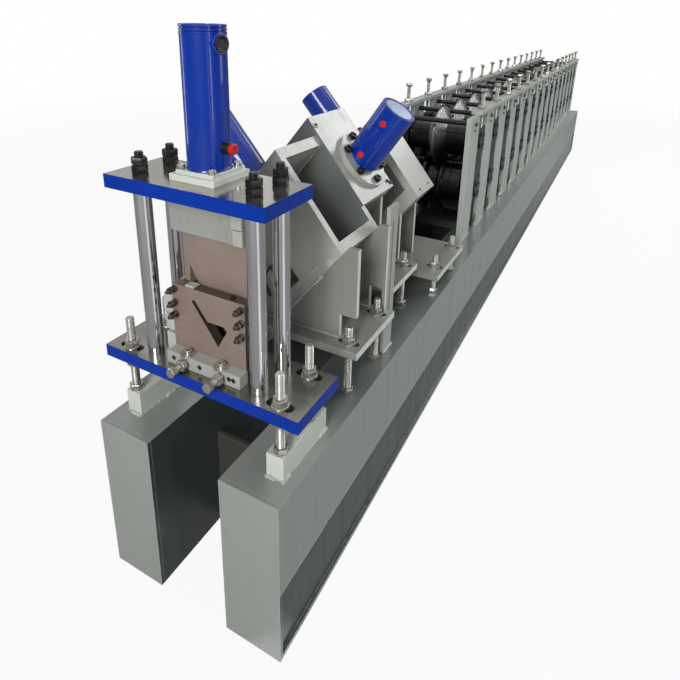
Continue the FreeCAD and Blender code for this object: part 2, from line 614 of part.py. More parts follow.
def stands():
    """The plates under the presses and the slotted side bars."""
    near_back = PRESS_2_Y + PRESS_2_DEPTH
    far_back = PRESS_3_Y + PRESS_3_DEPTH
    t = STAND_PLATE
    inset = (PRESS_END_PLATE - t) / 2
    near_rear = NEAR_PLATE_Y + NEAR_PLATE_DEPTH - t
    plates = [shouldered_stand(PRESS_1_Y + inset, False),
              shouldered_stand(near_rear, True),
              cradle(near_back - inset - t, NEAR_PLATE_TOP_Z, PRESS_2_LOW),
              cradle(PRESS_3_Y + inset, FAR_PLATE_TOP_Z, STROKE_HALF),
              cradle(far_back - inset - t, FAR_PLATE_TOP_Z, STROKE_HALF)]
    save("press_stand_plates", plates)
    y0 = NEAR_PLATE_Y + NEAR_PLATE_DEPTH
    y1 = y0 + SLOT_BAR_WIDTH
    top = BEAM_HEIGHT + SLOT_BAR_HEIGHT
    bar = box(SLOT_BAR_X, SLOT_BAR_X + SLOT_BAR_THICKNESS, y0, y1, BEAM_HEIGHT, top)
    slot_top = top - SLOT_BAR_MARGIN
    middle = (y0 + y1) / 2
    half = SLOT_BAR_SLOT_WIDTH / 2
    gap = box(SLOT_BAR_X, SLOT_BAR_X + SLOT_BAR_THICKNESS, middle - half, middle + half,
              slot_top - SLOT_BAR_SLOT_LENGTH, slot_top)
    save("slotted_side_bars", both_sides([bar.cut(gap)]))


def column_y(i):
    """Front edge of a column."""
    return ROW_START + i * BAY_PITCH


def roll_stands():
    """The rows of columns, their caps, tie bars and adjusting bolts."""
    x0 = COLUMN_OUTER_X - COLUMN_THICKNESS
    tie_z = COLUMN_TOP_Z - TIE_BAR_DROP
    columns = []
    ties = []
    for i in range(BAY_COUNT + 1):
        y = column_y(i)
        columns.append(box(x0, COLUMN_OUTER_X, y, y + COLUMN_WIDTH, BEAM_HEIGHT, COLUMN_TOP_Z))
        middle = y + COLUMN_WIDTH / 2
        ties.append(round_bar(TIE_BAR_RADIUS, (-x0, middle, tie_z), (x0, middle, tie_z)))
    save("stand_columns", both_sides(columns))
    save("column_tie_bars", ties)
    caps = []
    bolts = []
    cap_top = COLUMN_TOP_Z + CAP_THICKNESS
    block_top = UPPER_SHAFT_Z + BLOCK_HEIGHT / 2
    for i in range(BAY_COUNT):
        y = column_y(i) + COLUMN_WIDTH
        bolt_y = y + WINDOW_WIDTH / 2
        cap = box(CAP_CENTRE_X - CAP_WIDTH / 2, CAP_CENTRE_X + CAP_WIDTH / 2, y - CAP_LAP,
                  y - CAP_LAP + BAY_PITCH - CAP_GAP, COLUMN_TOP_Z, cap_top)
        x = CAP_CENTRE_X
        hole = round_bar(BOLT_RADIUS + BOLT_HOLE_CLEARANCE, (x, bolt_y, COLUMN_TOP_Z), (x, bolt_y, cap_top))
        caps.append(cap.cut(hole))
        shank = round_bar(BOLT_RADIUS, (x, bolt_y, block_top), (x, bolt_y, cap_top + BOLT_RISE))
        nut = hexagon(BOLT_NUT_FLAT, x, bolt_y, cap_top, cap_top + BOLT_NUT_HEIGHT)
        head = hexagon(BOLT_HEAD_FLAT, x, bolt_y, cap_top + BOLT_RISE - BOLT_HEAD_HEIGHT,
                       cap_top + BOLT_RISE)
        bolts.append(shank.fuse([nut, head]))
    save("stand_caps", both_sides(caps))
    save("adjusting_bolts", both_sides(bolts))


def bearing_block(y, z):
    """A block that fills its window, with a blind bore behind a round cover."""
    x1 = BLOCK_OUTER_X
    x0 = x1 - BLOCK_DEPTH
    half = WINDOW_WIDTH / 2 - BLOCK_SLIDE
    block = box(x0, x1, y - half, y + half, z - BLOCK_HEIGHT / 2, z + BLOCK_HEIGHT / 2)
    cover = round_bar(COVER_RADIUS, (x1, y, z), (x1 + COVER_THICKNESS, y, z))
    bore = round_bar(SHAFT_RADIUS + SHAFT_RUNNING, (x0, y, z), (x1, y, z))
    return block.cut(bore).fuse(cover)


def rolled_shaft(y, z, profile):
    """A shaft with its roll, turned about its own axis from a half outline."""
    end = BLOCK_OUTER_X - SHAFT_END_GAP
    half = profile + [(end, SHAFT_RADIUS)]
    outline = [(-x, r) for x, r in reversed(half)] + [(x, r) for x, r in half if x > 0]
    outline += [(end, 0), (-end, 0)]
    corners = [Vector(x, FRONT + y, z + r) for x, r in outline]
    face = Part.Face(Part.makePolygon(corners + corners[:1]))
    return face.revolve(Vector(0, FRONT + y, z), Vector(1, 0, 0), 360)


def upper_profile():
    """A blunt V rim in the middle of a wide roll body."""
    base = ROLL_RADIUS - ROLL_FLANK_DROP
    return [(ROLL_RIM_HALF, ROLL_RADIUS), (ROLL_HALF_WIDTH, base), (ROLL_HALF_WIDTH, UPPER_BODY_RADIUS),
            (ROLL_BODY_HALF, UPPER_BODY_RADIUS), (ROLL_BODY_HALF, SHAFT_RADIUS)]


def lower_profile():
    """A wide roll body with a V groove that takes the upper roll's rim."""
    lean = (ROLL_HALF_WIDTH - ROLL_RIM_HALF) / ROLL_FLANK_DROP
    depth = ROLL_RADIUS - GROOVE_ROOT
    mouth = ROLL_RIM_HALF + ROLL_GAP + depth * lean
    edge = mouth + GROOVE_RIM
    return [(ROLL_RIM_HALF, GROOVE_ROOT), (mouth, ROLL_RADIUS), (edge, ROLL_RADIUS),
            (edge, LOWER_BODY_RADIUS), (ROLL_BODY_HALF, LOWER_BODY_RADIUS), (ROLL_BODY_HALF, SHAFT_RADIUS)]


def shafts():
    """Every bay's bearing blocks and its lower and upper rolls."""
    blocks = []
    for i in range(BAY_COUNT):
        y = column_y(i) + COLUMN_WIDTH + WINDOW_WIDTH / 2
        blocks += [bearing_block(y, LOWER_SHAFT_Z), bearing_block(y, UPPER_SHAFT_Z)]
        number = "%02d" % (i + 1)
        save("lower_roll_" + number, [rolled_shaft(y, LOWER_SHAFT_Z, lower_profile())])
        save("upper_roll_" + number, [rolled_shaft(y, UPPER_SHAFT_Z, upper_profile())])
    save("bearing_blocks", both_sides(blocks))


def main():
    os.makedirs("parts", exist_ok=True)
    base()
    cutter_bars()
    carriers()
    cutter_posts()
    cutter_top()
    die_set()
    cutter_ram()
    cutter_cylinder()
    press_frames()
    presses()
    stands()
    roll_stands()
    shafts()


main()
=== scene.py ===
# %% [markdown]
# # A roll forming machine, dressed for a studio picture
# The construction model comes first. It holds every main piece at its real size, and it is never
# moved. This notebook adds the small shapes and the finishes that make steel look like steel.

# %% Load the construction model
import json
from math import cos, pi, radians, sin, sqrt

import bmesh
import bpy
from mathutils import Matrix, Vector


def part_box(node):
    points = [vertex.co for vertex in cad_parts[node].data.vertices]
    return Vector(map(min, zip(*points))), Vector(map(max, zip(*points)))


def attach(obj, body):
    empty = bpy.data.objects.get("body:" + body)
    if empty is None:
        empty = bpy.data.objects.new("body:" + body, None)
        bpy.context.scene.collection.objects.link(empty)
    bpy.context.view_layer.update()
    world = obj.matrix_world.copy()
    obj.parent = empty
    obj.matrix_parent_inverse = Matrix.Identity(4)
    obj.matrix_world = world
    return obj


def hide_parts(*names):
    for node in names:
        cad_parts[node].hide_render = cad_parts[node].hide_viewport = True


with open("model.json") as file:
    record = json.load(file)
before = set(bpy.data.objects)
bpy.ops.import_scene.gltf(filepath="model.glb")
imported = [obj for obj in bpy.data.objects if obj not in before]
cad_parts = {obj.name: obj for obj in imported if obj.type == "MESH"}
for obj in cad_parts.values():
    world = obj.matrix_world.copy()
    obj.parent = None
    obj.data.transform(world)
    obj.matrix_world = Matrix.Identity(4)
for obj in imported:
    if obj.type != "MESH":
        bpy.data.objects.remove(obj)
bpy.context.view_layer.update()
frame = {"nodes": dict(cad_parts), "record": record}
nodes = frame["nodes"]

# %% [markdown]
# The drawing of this machine measures along its length from the front end of the base, so the same
# habit is kept here. One helper turns such a place into the model's frame, whose origin is midway.

# %% Places measured from the front end, in metres
HALF_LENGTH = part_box("beam_end_plates")[1].y
BEAM_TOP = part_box("base_beam_right")[1].z
BASE = "machine_frame"
RAM = "cutter_ram"


def at(x, y, z):
    return Vector((x, y - HALF_LENGTH, z))


print("half length %.3f m, beam top %.3f m" % (HALF_LENGTH, BEAM_TOP))

# %% [markdown]
# ## Writing shader maths as Python
# A material is a graph of nodes. Wiring dozens of Math nodes by hand hides the idea, so a small class
# wraps one output socket and lets ordinary operators make the nodes: `1 - mask * 0.3` works as written.

# %% A socket that can do arithmetic
class Wire:
    """One output socket of a material's node tree."""

    def __init__(self, tree, socket):
        self.tree = tree
        self.socket = socket

    def node(self, kind, settings=None, sockets=None, out=0):
        """Any other node: its settings first, then its sockets' values or links."""
        made = self.tree.nodes.new(kind)
        settings = dict(settings or {})
        stops = settings.pop("stops", None)
        for key, value in settings.items():
            setattr(made, key, value)
        if stops:
            while len(made.color_ramp.elements) < len(stops):
                made.color_ramp.elements.new(0.5)
            for element, (place, colour) in zip(made.color_ramp.elements, stops):
                element.position = place
                element.color = colour
        for key, value in (sockets or {}).items():
            if isinstance(value, Wire):
                self.tree.links.new(value.socket, made.inputs[key])
            else:
                made.inputs[key].default_value = value
        return Wire(self.tree, made.outputs[out])

    def maths(self, operation, first, second):
        return self.node("ShaderNodeMath", {"operation": operation}, {0: first, 1: second})

    def __add__(self, other):
        return self.maths("ADD", self, other)

    def __radd__(self, other):
        return self.maths("ADD", other, self)

    def __sub__(self, other):
        return self.maths("SUBTRACT", self, other)

    def __rsub__(self, other):
        return self.maths("SUBTRACT", other, self)

    def __mul__(self, other):
        return self.maths("MULTIPLY", self, other)

    def __rmul__(self, other):
        return self.maths("MULTIPLY", other, self)

    def above(self, level, soft):
        """0 below a level and 1 above it, with a soft step between."""
        return self.node("ShaderNodeMapRange", {"clamp": True},
                         {"Value": self, "From Min": level - soft, "From Max": level + soft})

    def part(self, axis):
        return self.node("ShaderNodeSeparateXYZ", None, {0: self}, axis)

    def noise(self, scale, detail=3.0, stretch=None):
        """Smooth noise; stretch scales the pattern's place along X, Y and Z."""
        place = self
        if stretch:
            place = self.node("ShaderNodeMapping", None, {"Vector": self, "Scale": stretch})
        return self.node("ShaderNodeTexNoise", None,
                         {"Vector": place, "Scale": scale, "Detail": detail, "Roughness": 0.55}, "Fac")

    def colour(self, low, high):
        """A colour between two, picked by this value; either end may be a wire."""
        return self.node("ShaderNodeMix", {"data_type": "RGBA"}, {"Factor": self, 6: low, 7: high}, 2)


print("socket class ready")

# %% [markdown]
# A colour picked on a screen has to be made linear before a shader takes it. A finish starts from a
# place in Object coordinates, because a pattern on those stays on the piece when the piece moves.

# %% Colours and new finishes
def srgb(red, green, blue):
    """An 8-bit screen colour as the linear colour that a shader takes."""
    def linear(value):
        value /= 255
        return value / 12.92 if value <= 0.04045 else ((value + 0.055) / 1.055) ** 2.4
    return (linear(red), linear(green), linear(blue), 1.0)


def shaded(colour, amount):
    """The same colour, darker or lighter."""
    return tuple(min(1.0, c * amount) for c in colour[:3]) + (1.0,)


def new_finish(name, **constants):
    """A material, its shader, and the wire that gives a place on the piece."""
    material = bpy.data.materials.new(name)
    material.use_nodes = True
    tree = material.node_tree
    shader = tree.nodes["Principled BSDF"]
    for key, value in constants.items():
        shader.inputs[key.replace("_", " ")].default_value = value
    start = Wire(tree, None)
    place = start.node("ShaderNodeTexCoord", None, None, "Object")
    return material, shader, place


def connect(place, shader, **wires):
    for key, wire in wires.items():
        place.tree.links.new(wire.socket, shader.inputs[key.replace("_", " ")])


print("shader helpers ready")

# %% [markdown]
# ## Finishes
# Sprayed machine paint is never one flat colour. It has slow patches where the coat is thicker, a
# fine skin like orange peel, dull streaks of dust on upright faces, and edges that catch the light.
# A Bevel node rounds the edges for the light alone, so that sharp sheet edges still gleam, and the same
# node finds the edges, where the coat is painted pale: partly rubbed wear, partly a painted highlight.

# %% Edges and skin of a coat
EDGE_ROUND = 0.0014


def peel(place, scale, height, edge=EDGE_ROUND):
    """A fine skin on top of edges that are rounded for the light."""
    rounded = place.node("ShaderNodeBevel", {"samples": 4}, {"Radius": edge})
    return place.node("ShaderNodeBump", None, {"Strength": 0.25, "Distance": height,
                                               "Height": place.noise(scale, 2.0), "Normal": rounded})


def rubbed_and_lit_edge(place, reach=0.0032):
    """1 on an edge: there the rounded normal turns away from the flat face's own."""
    rounded = place.node("ShaderNodeBevel", {"samples": 4}, {"Radius": reach})
    flat = place.node("ShaderNodeNewGeometry", None, None, "True Normal")
    agree = rounded.node("ShaderNodeVectorMath", {"operation": "DOT_PRODUCT"}, {0: rounded, 1: flat}, "Value")
    return (1.0 - agree).above(0.10, 0.07)


print("edge rounding: %.1f mm" % (EDGE_ROUND * 1000))

# %% [markdown]
# Some places get painted shade: the stepped-in lower band of each beam, darkest near the front end, the
# channel between the beams, a painted dark reflection on their tops near the cutter, and the wall between
# two presses. Other places get a painted highlight: a pale line along each beam's step, and the thin sides
# of the press stands that look outward. They could be pieces of their own, but a mask on the place is
# exact and costs no mesh. Each helper below gives two masks, for the painted shade and the painted highlight.

# %% Where painted shade and painted highlights go
# the colour of the painted shade
SHADE_COLOUR = srgb(36, 49, 51)
BEAM_IN, BEAM_OUT = (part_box("base_beam_right")[end].x for end in (0, 1))
STEP_Z = 0.205
WALL_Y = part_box("press_frame_near")[0].y + 0.200
HARD = 0.0004


def beam_shade_and_highlight(place):
    """Painted shade on a base beam, and a painted highlight line along its step."""
    out = place.maths("ABSOLUTE", place.part(0), 0.0)
    along = place.maths("ABSOLUTE", place.part(1), 0.0)
    height = place.part(2)
    behind = 1.0 - along.above(HALF_LENGTH - 0.0012, HARD)
    # painted shade in the channel between the beams
    inside = (1.0 - out.above(BEAM_IN + 0.003, HARD)) * (1.0 - height.above(BEAM_TOP - 0.001, HARD))
    stepped_in = out.above(BEAM_OUT - 0.016, 0.001)
    # painted shade on the stepped-in lower band
    band = stepped_in * (1.0 - height.above(STEP_Z, HARD)) * height.above(0.011, 0.001)
    # painted highlight: a pale line along the step
    line = out.above(BEAM_OUT - 0.0012, HARD) * height.above(STEP_Z, HARD)
    line = line * (1.0 - height.above(STEP_Z + 0.0028, 0.0006)) * behind
    # the band's painted shade is strongest at the front end and fades towards the back
    faded = 0.93 - place.part(1).above(0.8, 1.6) * 0.60
    # painted dark reflection on the beam tops near the cutter
    dark_top_reflection = height.above(BEAM_TOP - 0.0006, 0.0003) * place.part(1).above(-2.70, 0.14)
    dark_top_reflection = dark_top_reflection * (1.0 - place.part(1).above(-0.6, 0.9)) * 0.52
    dark = place.maths("MAXIMUM", inside * 0.90, band * faded)
    return place.maths("MAXIMUM", dark, dark_top_reflection) * behind, line


def press_wall_shade(place):
    """Painted shade on the wall between the two presses, and no painted highlight."""
    along = place.part(1)
    # painted shade on the wall between the presses
    wall = along.above(WALL_Y - 0.0010, 0.0003) * (1.0 - along.above(WALL_Y + 0.0004, 0.0002))
    return wall * 0.62, along * 0.0


def stand_edge_highlight(place):
    """No painted shade, but a painted highlight where a stand's thin side looks outward."""
    facing = place.node("ShaderNodeTexCoord", None, None, "Normal").part(0)
    facing = place.maths("ABSOLUTE", facing, 0.0)
    # painted highlight on the thin sides that look outward
    return facing * 0.0, facing.above(0.85, 0.1)


print("beam step at %.3f m" % STEP_Z)

# %% [markdown]
# One helper mixes every grey-green coat: the sprayed colour, then dust, then the painted shade and painted
# highlights, and last the pale edges, partly rubbed wear and partly a painted highlight. The coats differ in
# colour, gloss and dust as they do on the machine, but the stand coat is a darker copy of the press coat,
# painted shade.

# %% Machine paint
def machine_paint(name, colour, coat=0.25, dust=0.10, bands=None, pale=1.9):
    material, shader, place = new_finish(name, Coat_Roughness=0.18)
    patch = place.noise(1.7, 4.0)
    mottle = place.noise(26.0, 4.0)
    streak = place.noise(1.0, 4.0, (38.0, 38.0, 2.2)).above(0.56, 0.10)
    tone = patch * 0.7 + mottle * 0.3
    sprayed = tone.colour(shaded(colour, 0.90), shaded(colour, 1.10))
    dusty = (streak * dust).colour(sprayed, shaded(colour, 0.72))
    chips = place.noise(70.0, 4.0).above(0.42, 0.10)
    # painted shade and painted highlights from the masks; pale sets how light the painted highlight is
    if bands:
        dark, line = bands(place)
        dusty = line.colour(dark.colour(dusty, SHADE_COLOUR), shaded(colour, pale))
    # pale edges: partly rubbed wear, partly a painted highlight
    worn = (rubbed_and_lit_edge(place) * chips * 0.75).colour(dusty, shaded(colour, 1.75))
    rough = mottle * 0.16 + streak * 0.10 + 0.24
    connect(place, shader, Base_Color=worn, Roughness=rough, Normal=peel(place, 420.0, 0.0003))
    shader.inputs["Coat Weight"].default_value = coat
    return material


beam_paint = machine_paint("sprayed_beams", srgb(139, 144, 141), 0.30, 0.06, beam_shade_and_highlight)
inner_paint = machine_paint("dark_cross_plates", srgb(62, 61, 58), 0.20, 0.20)
bar_paint = machine_paint("pale_support_bars", srgb(196, 201, 194), 0.25, 0.08)
press_paint = machine_paint("sprayed_presses", srgb(160, 163, 157), 0.30, 0.10, press_wall_shade)
# The stands take a darker copy of the press coat, painted shade, and a strong painted highlight on their
# outward thin sides.
shaded_stand_paint = machine_paint("sprayed_press_stands", srgb(128, 131, 125), 0.30, 0.14, stand_edge_highlight,
                           pale=3.1)
column_paint = machine_paint("sprayed_columns", srgb(168, 174, 169), 0.25, 0.10)
# a darker grey for the far press's panel, painted shade
shaded_paint = machine_paint("shaded_grey_paint", srgb(84, 88, 85), 0.20, 0.20)
print("paints:", beam_paint.name, press_paint.name, column_paint.name)

# %% [markdown]
# The cylinders are gloss blue. The cutter's two thick plates are painted in the same blue, but round
# their rims only: their flat faces are ground bright and left bare. The shader measures how near a
# place is to the plate's own outline, so no face has to be picked by hand.

# %% Ground plates with blue rims, and gloss blue cylinders
BLUE = srgb(0, 46, 146)
RIM = 0.0012


def blue_gloss():
    material, shader, place = new_finish("gloss_blue_paint", Coat_Weight=0.60, Coat_Roughness=0.03,
                                         Specular_IOR_Level=0.15)
    tone = place.noise(7.0, 3.0)
    colour = tone.colour(shaded(BLUE, 0.80), shaded(BLUE, 1.14))
    rough = place.noise(60.0, 3.0) * 0.12 + 0.30
    connect(place, shader, Base_Color=colour, Roughness=rough, Normal=peel(place, 160.0, 0.0002))
    return material


def blue_rim_plate(name, node, dark, bright, rough):
    """Bare ground faces, and paint where a place lies on the plate's outline."""
    material, shader, place = new_finish(name, Specular_IOR_Level=0.15)
    low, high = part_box(node)
    middle = (low + high) / 2
    half = (high - low) / 2
    rims = []
    for axis in (0, 1):
        off = place.maths("ABSOLUTE", place.part(axis) - middle[axis], 0.0)
        rims.append((off - (half[axis] - RIM)).above(0.0, 0.0002))
    rim = place.maths("MAXIMUM", rims[0], rims[1])
    lines = place.noise(1.0, 3.0, (12.0, 460.0, 12.0))
    cloud = place.noise(13.0, 5.0)
    smear = place.noise(1.0, 4.0, (3.0, 11.0, 3.0)).above(0.55, 0.12)
    steel = (lines * 0.4 + cloud * 0.4 + smear * 0.2).colour(dark, bright)
    paint = place.noise(9.0).colour(shaded(BLUE, 0.84), shaded(BLUE, 1.18))
    bare = 1.0 - rim
    worn = cloud * 0.12 + smear * 0.08 + rough
    connect(place, shader, Base_Color=rim.colour(steel, paint), Metallic=bare * 0.94,
            Roughness=bare * worn + rim * 0.30, Normal=peel(place, 300.0, 0.0002, 0.0008))
    return material


gloss_blue = blue_gloss()
low_plate = blue_rim_plate("ground_lower_plate", "cutter_lower_plate", srgb(118, 116, 112),
                           srgb(160, 157, 151), 0.14)
top_plate = blue_rim_plate("ground_top_plate", "cutter_top_plate", srgb(146, 145, 141),
                           srgb(196, 194, 187), 0.05)
print("blue finishes ready")

# %% [markdown]
# Bare metals differ in how they were made. Ground tool steel has straight fine lines, a turned roll
# has rings around its axis, chrome is nearly a mirror, and plated nuts are softly mottled. The walls of
# the opening in the front die get painted shade, so that metal is darkened behind its front face.

# %% Bare metals
def bare_metal(name, dark, bright, rough, stretch, spread=0.10, metallic=1.0, height=0.0001, edge=0.0006,
               face=None):
    """Metal with fine tool marks that run along the stretched direction.

    Behind a given front face, along Y, it is darkened as painted shade.
    """
    material, shader, place = new_finish(name, Metallic=metallic)
    marks = place.noise(1.0, 3.0, stretch)
    cloud = place.noise(11.0, 4.0)
    tone = marks * 0.5 + cloud * 0.5
    rounded = place.node("ShaderNodeBevel", {"samples": 4}, {"Radius": edge})
    relief = place.node("ShaderNodeBump", None, {"Strength": 0.3, "Distance": height,
                                                 "Height": marks, "Normal": rounded})
    colour = tone.colour(dark, bright)
    if face is not None:
        # painted shade on the walls of the die's opening
        cut = place.part(1).above(face + 0.0012, 0.0006)
        colour = (cut * 0.80).colour(colour, shaded(dark, 0.12))
    connect(place, shader, Base_Color=colour, Roughness=(marks + cloud) * spread + rough, Normal=relief)
    return material


chrome = bare_metal("hard_chrome", srgb(182, 184, 188), srgb(224, 225, 228), 0.0, (90.0, 90.0, 3.0), 0.05)
zinc = bare_metal("bright_zinc", srgb(140, 140, 136), srgb(200, 199, 192), 0.18, (60.0, 60.0, 60.0),
                  metallic=0.82)
tool_steel = bare_metal("ground_tool_steel", srgb(138, 122, 114), srgb(176, 160, 150), 0.36,
                        (10.0, 10.0, 240.0), metallic=0.55)
die_steel = bare_metal("ground_die_steel", srgb(136, 120, 112), srgb(172, 156, 146), 0.36,
                       (10.0, 10.0, 240.0), metallic=0.55, face=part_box("die_front_plate")[0].y)
roll_steel = bare_metal("turned_roll_steel", srgb(92, 92, 93), srgb(190, 189, 188), 0.20,
                        (150.0, 0.5, 0.5), 0.04, height=0.00001)
holder_steel = bare_metal("milled_holder_steel", srgb(146, 150, 146), srgb(178, 182, 176), 0.34,
                          (200.0, 26.0, 26.0), metallic=0.4)
# the lower rolls' V rings: a darker copy of the roll steel, painted shade
shaded_roll = bare_metal("dark_roll_steel", srgb(26, 26, 28), srgb(70, 70, 72), 0.14, (150.0, 0.5, 0.5),
                       height=0.00001)
aged_steel = bare_metal("brown_aged_steel", srgb(58, 50, 44), srgb(126, 116, 106), 0.28, (90.0, 90.0, 90.0))
print("bare metals ready")

# %% [markdown]
# Blackened steel and the dark bearing blocks are an oxide skin with a little oil on it, so they are
# dark but still glossy in places. The small sealing caps on the oil ports are plain red plastic.

# %% Dark steel, plastic caps, recesses and sawn ends
def plain_coat(name, dark, bright, rough, metallic, scale):
    material, shader, place = new_finish(name, Metallic=metallic)
    cloud = place.noise(scale, 4.0)
    fine = place.noise(scale * 9.0, 3.0)
    connect(place, shader, Base_Color=cloud.colour(dark, bright), Roughness=fine * 0.22 + rough,
            Normal=peel(place, 260.0, 0.0003, 0.0008))
    return material


black_steel = plain_coat("black_oxide_steel", srgb(10, 10, 11), srgb(34, 34, 35), 0.26, 0.3, 24.0)
roll_black = plain_coat("oiled_black_roll", srgb(4, 4, 5), srgb(14, 13, 15), 0.12, 0.3, 18.0)
block_black = plain_coat("oiled_black_block", srgb(12, 12, 13), srgb(32, 33, 34), 0.30, 0.2, 14.0)
red_cap = plain_coat("red_plastic_cap", srgb(170, 14, 12), srgb(206, 30, 24), 0.28, 0.0, 30.0)
# dark discs in this coat stand in for holes and slot ends as painted shade; thin bars in it are dark joints
dark_hole = plain_coat("dark_recess", srgb(5, 5, 5), srgb(14, 14, 14), 0.7, 0.0, 30.0)
pale_end = plain_coat("sawn_end_face", srgb(112, 130, 172), srgb(186, 196, 214), 0.40, 0.3, 90.0)
print("coats ready")

# %% [markdown]
# Every finish goes on a list of construction nodes. A dictionary keeps that link in one place.

# %% Finishes on the construction nodes
NODE_FINISH = {
    beam_paint: ["base_beam_left", "base_beam_right", "beam_end_plates"],
    inner_paint: ["cross_plates"],
    bar_paint: ["cutter_support_bars"],
    column_paint: ["stand_columns", "stand_caps"],
    press_paint: ["press_frame_near", "press_frame_far", "press_cover_plate", "slotted_side_bars",
                  "die_clamp_blocks"],
    shaded_stand_paint: ["press_stand_plates", "press_base_plates"],
    low_plate: ["cutter_lower_plate"],
    top_plate: ["cutter_top_plate"],
    gloss_blue: ["cutter_cylinder", "press_cylinder_1", "press_cylinder_2", "press_cylinder_3"],
    chrome: ["cutter_guide_posts"],
    zinc: ["levelling_studs", "adjusting_bolts"],
    black_steel: ["cutter_post_nuts", "column_tie_bars"],
    die_steel: ["die_front_plate"],
    tool_steel: ["die_rear_plate", "cutter_blade"],
    holder_steel: ["blade_holder"],
    block_black: ["bearing_blocks"],
    roll_steel: [name for name in nodes if "_roll_" in name],
}
for finish, names in NODE_FINISH.items():
    for name in names:
        nodes[name].data.materials.clear()
        nodes[name].data.materials.append(finish)
dressed = sum(len(names) for names in NODE_FINISH.values())
print("nodes with a finish:", dressed, "of", len(nodes))

# %% [markdown]
# ## Making small shapes
# Turned things such as nuts, threads and barrels are a half outline swept round an axis. Plates are
# boxes with a small bevel. Both are built with bmesh, whose faces are made in an outward order.

# %% Turned shapes and boxes
def lathe(bm, outline, base, axis, steps=32, turn=0.0):
    """Sweep (distance along the axis, radius) pairs round an axis; radius 0 closes an end."""
    axis = Vector(axis).normalized()
    side = axis.orthogonal().normalized()
    other = axis.cross(side)
    rings = []
    for along, radius in outline:
        centre = Vector(base) + axis * along
        if radius == 0:
            rings.append([bm.verts.new(centre)] * steps)
            continue
        turns = [turn + 2 * pi * i / steps for i in range(steps)]
        rings.append([bm.verts.new(centre + (side * cos(a) + other * sin(a)) * radius) for a in turns])
    for low, high in zip(rings, rings[1:]):
        for i in range(steps):
            j = (i + 1) % steps
            corners = [low[i], low[j], high[j], high[i]]
            unique = [v for k, v in enumerate(corners) if v not in corners[:k]]
            if len(unique) > 2:
                bm.faces.new(unique)


def block(bm, low, high, bevel=0.001):
    """A box with bevelled edges."""
    made = bmesh.ops.create_cube(bm, size=1.0)["verts"]
    size = Vector(high) - Vector(low)
    middle = (Vector(high) + Vector(low)) / 2
    bmesh.ops.scale(bm, vec=size, verts=made)
    bmesh.ops.translate(bm, vec=middle, verts=made)
    edges = list({e for v in made for e in v.link_edges})
    if bevel:
        bmesh.ops.bevel(bm, geom=edges, offset=bevel, segments=2, profile=0.7, affect="EDGES")


print("shape helpers ready")

# %% [markdown]
# A shape becomes a piece in two steps: a mesh with one finish, and the body that it moves with. A piece
# that shows a construction node better than the node does replaces it. Smooth shading stops at edges
# sharper than a set angle, so that flats stay flat.

# %% From a shape to a piece
SHARP = radians(32)


def to_object(name, bm, finish):
    mesh = bpy.data.meshes.new(name)
    bm.to_mesh(mesh)
    bm.free()
    mesh.shade_smooth()
    mesh.set_sharp_from_angle(angle=SHARP)
    mesh.materials.append(finish)
    made = bpy.data.objects.new(name, mesh)
    bpy.context.scene.collection.objects.link(made)
    return made


def settle(made, body=BASE, stands_for=()):
    """Tie a finished piece to its body and the nodes that it stands for."""
    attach(made, body)
    if stands_for:
        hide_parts(*stands_for)
    return made


def piece(name, bm, finish, body=BASE, stands_for=()):
    return settle(to_object(name, bm, finish), body, stands_for)


print("piece helpers ready")

# %% [markdown]
# ## Copies on points
# A machine is full of the same nut and screw. One small Geometry Nodes tree puts a part on every point
# of a mesh, turns it to face its way, and gives each a random spin, because no fitter lines nuts up.
# The result becomes one plain mesh.

# %% The tree that copies a part onto points
def copy_tree():
    tree = bpy.data.node_groups.new("copies_on_points", "GeometryNodeTree")
    face = tree.interface
    face.new_socket("Points", in_out="INPUT", socket_type="NodeSocketGeometry")
    face.new_socket("Part", in_out="INPUT", socket_type="NodeSocketObject")
    face.new_socket("Turn", in_out="INPUT", socket_type="NodeSocketVector")
    face.new_socket("Spin", in_out="INPUT", socket_type="NodeSocketFloat")
    face.new_socket("Seed", in_out="INPUT", socket_type="NodeSocketInt")
    face.new_socket("Finish", in_out="INPUT", socket_type="NodeSocketMaterial")
    face.new_socket("Result", in_out="OUTPUT", socket_type="NodeSocketGeometry")
    new = tree.nodes.new
    link = tree.links.new
    given = new("NodeGroupInput")
    info = new("GeometryNodeObjectInfo")
    info.transform_space = "ORIGINAL"
    link(given.outputs["Part"], info.inputs["Object"])
    spin = new("FunctionNodeRandomValue")
    spin.data_type = "FLOAT"
    link(given.outputs["Spin"], spin.inputs[3])
    link(given.outputs["Seed"], spin.inputs["Seed"])
    about = new("ShaderNodeCombineXYZ")
    link(spin.outputs[1], about.inputs["Z"])
    facing = new("FunctionNodeRotateRotation")
    facing.rotation_space = "LOCAL"
    link(given.outputs["Turn"], facing.inputs["Rotation"])
    link(about.outputs[0], facing.inputs["Rotate By"])
    put = new("GeometryNodeInstanceOnPoints")
    link(given.outputs["Points"], put.inputs["Points"])
    link(info.outputs["Geometry"], put.inputs["Instance"])
    link(facing.outputs["Rotation"], put.inputs["Rotation"])
    real = new("GeometryNodeRealizeInstances")
    link(put.outputs["Instances"], real.inputs["Geometry"])
    painted = new("GeometryNodeSetMaterial")
    link(real.outputs["Geometry"], painted.inputs["Geometry"])
    link(given.outputs["Finish"], painted.inputs["Material"])
    result = new("NodeGroupOutput")
    link(painted.outputs["Geometry"], result.inputs["Result"])
    return tree


COPIES = copy_tree()
print("tree nodes:", len(COPIES.nodes))

# %% [markdown]
# A modifier's inputs are set by the socket's identifier. The evaluated result is taken as a plain mesh,
# and the modifier goes, so that the finished piece needs nothing else in the scene.

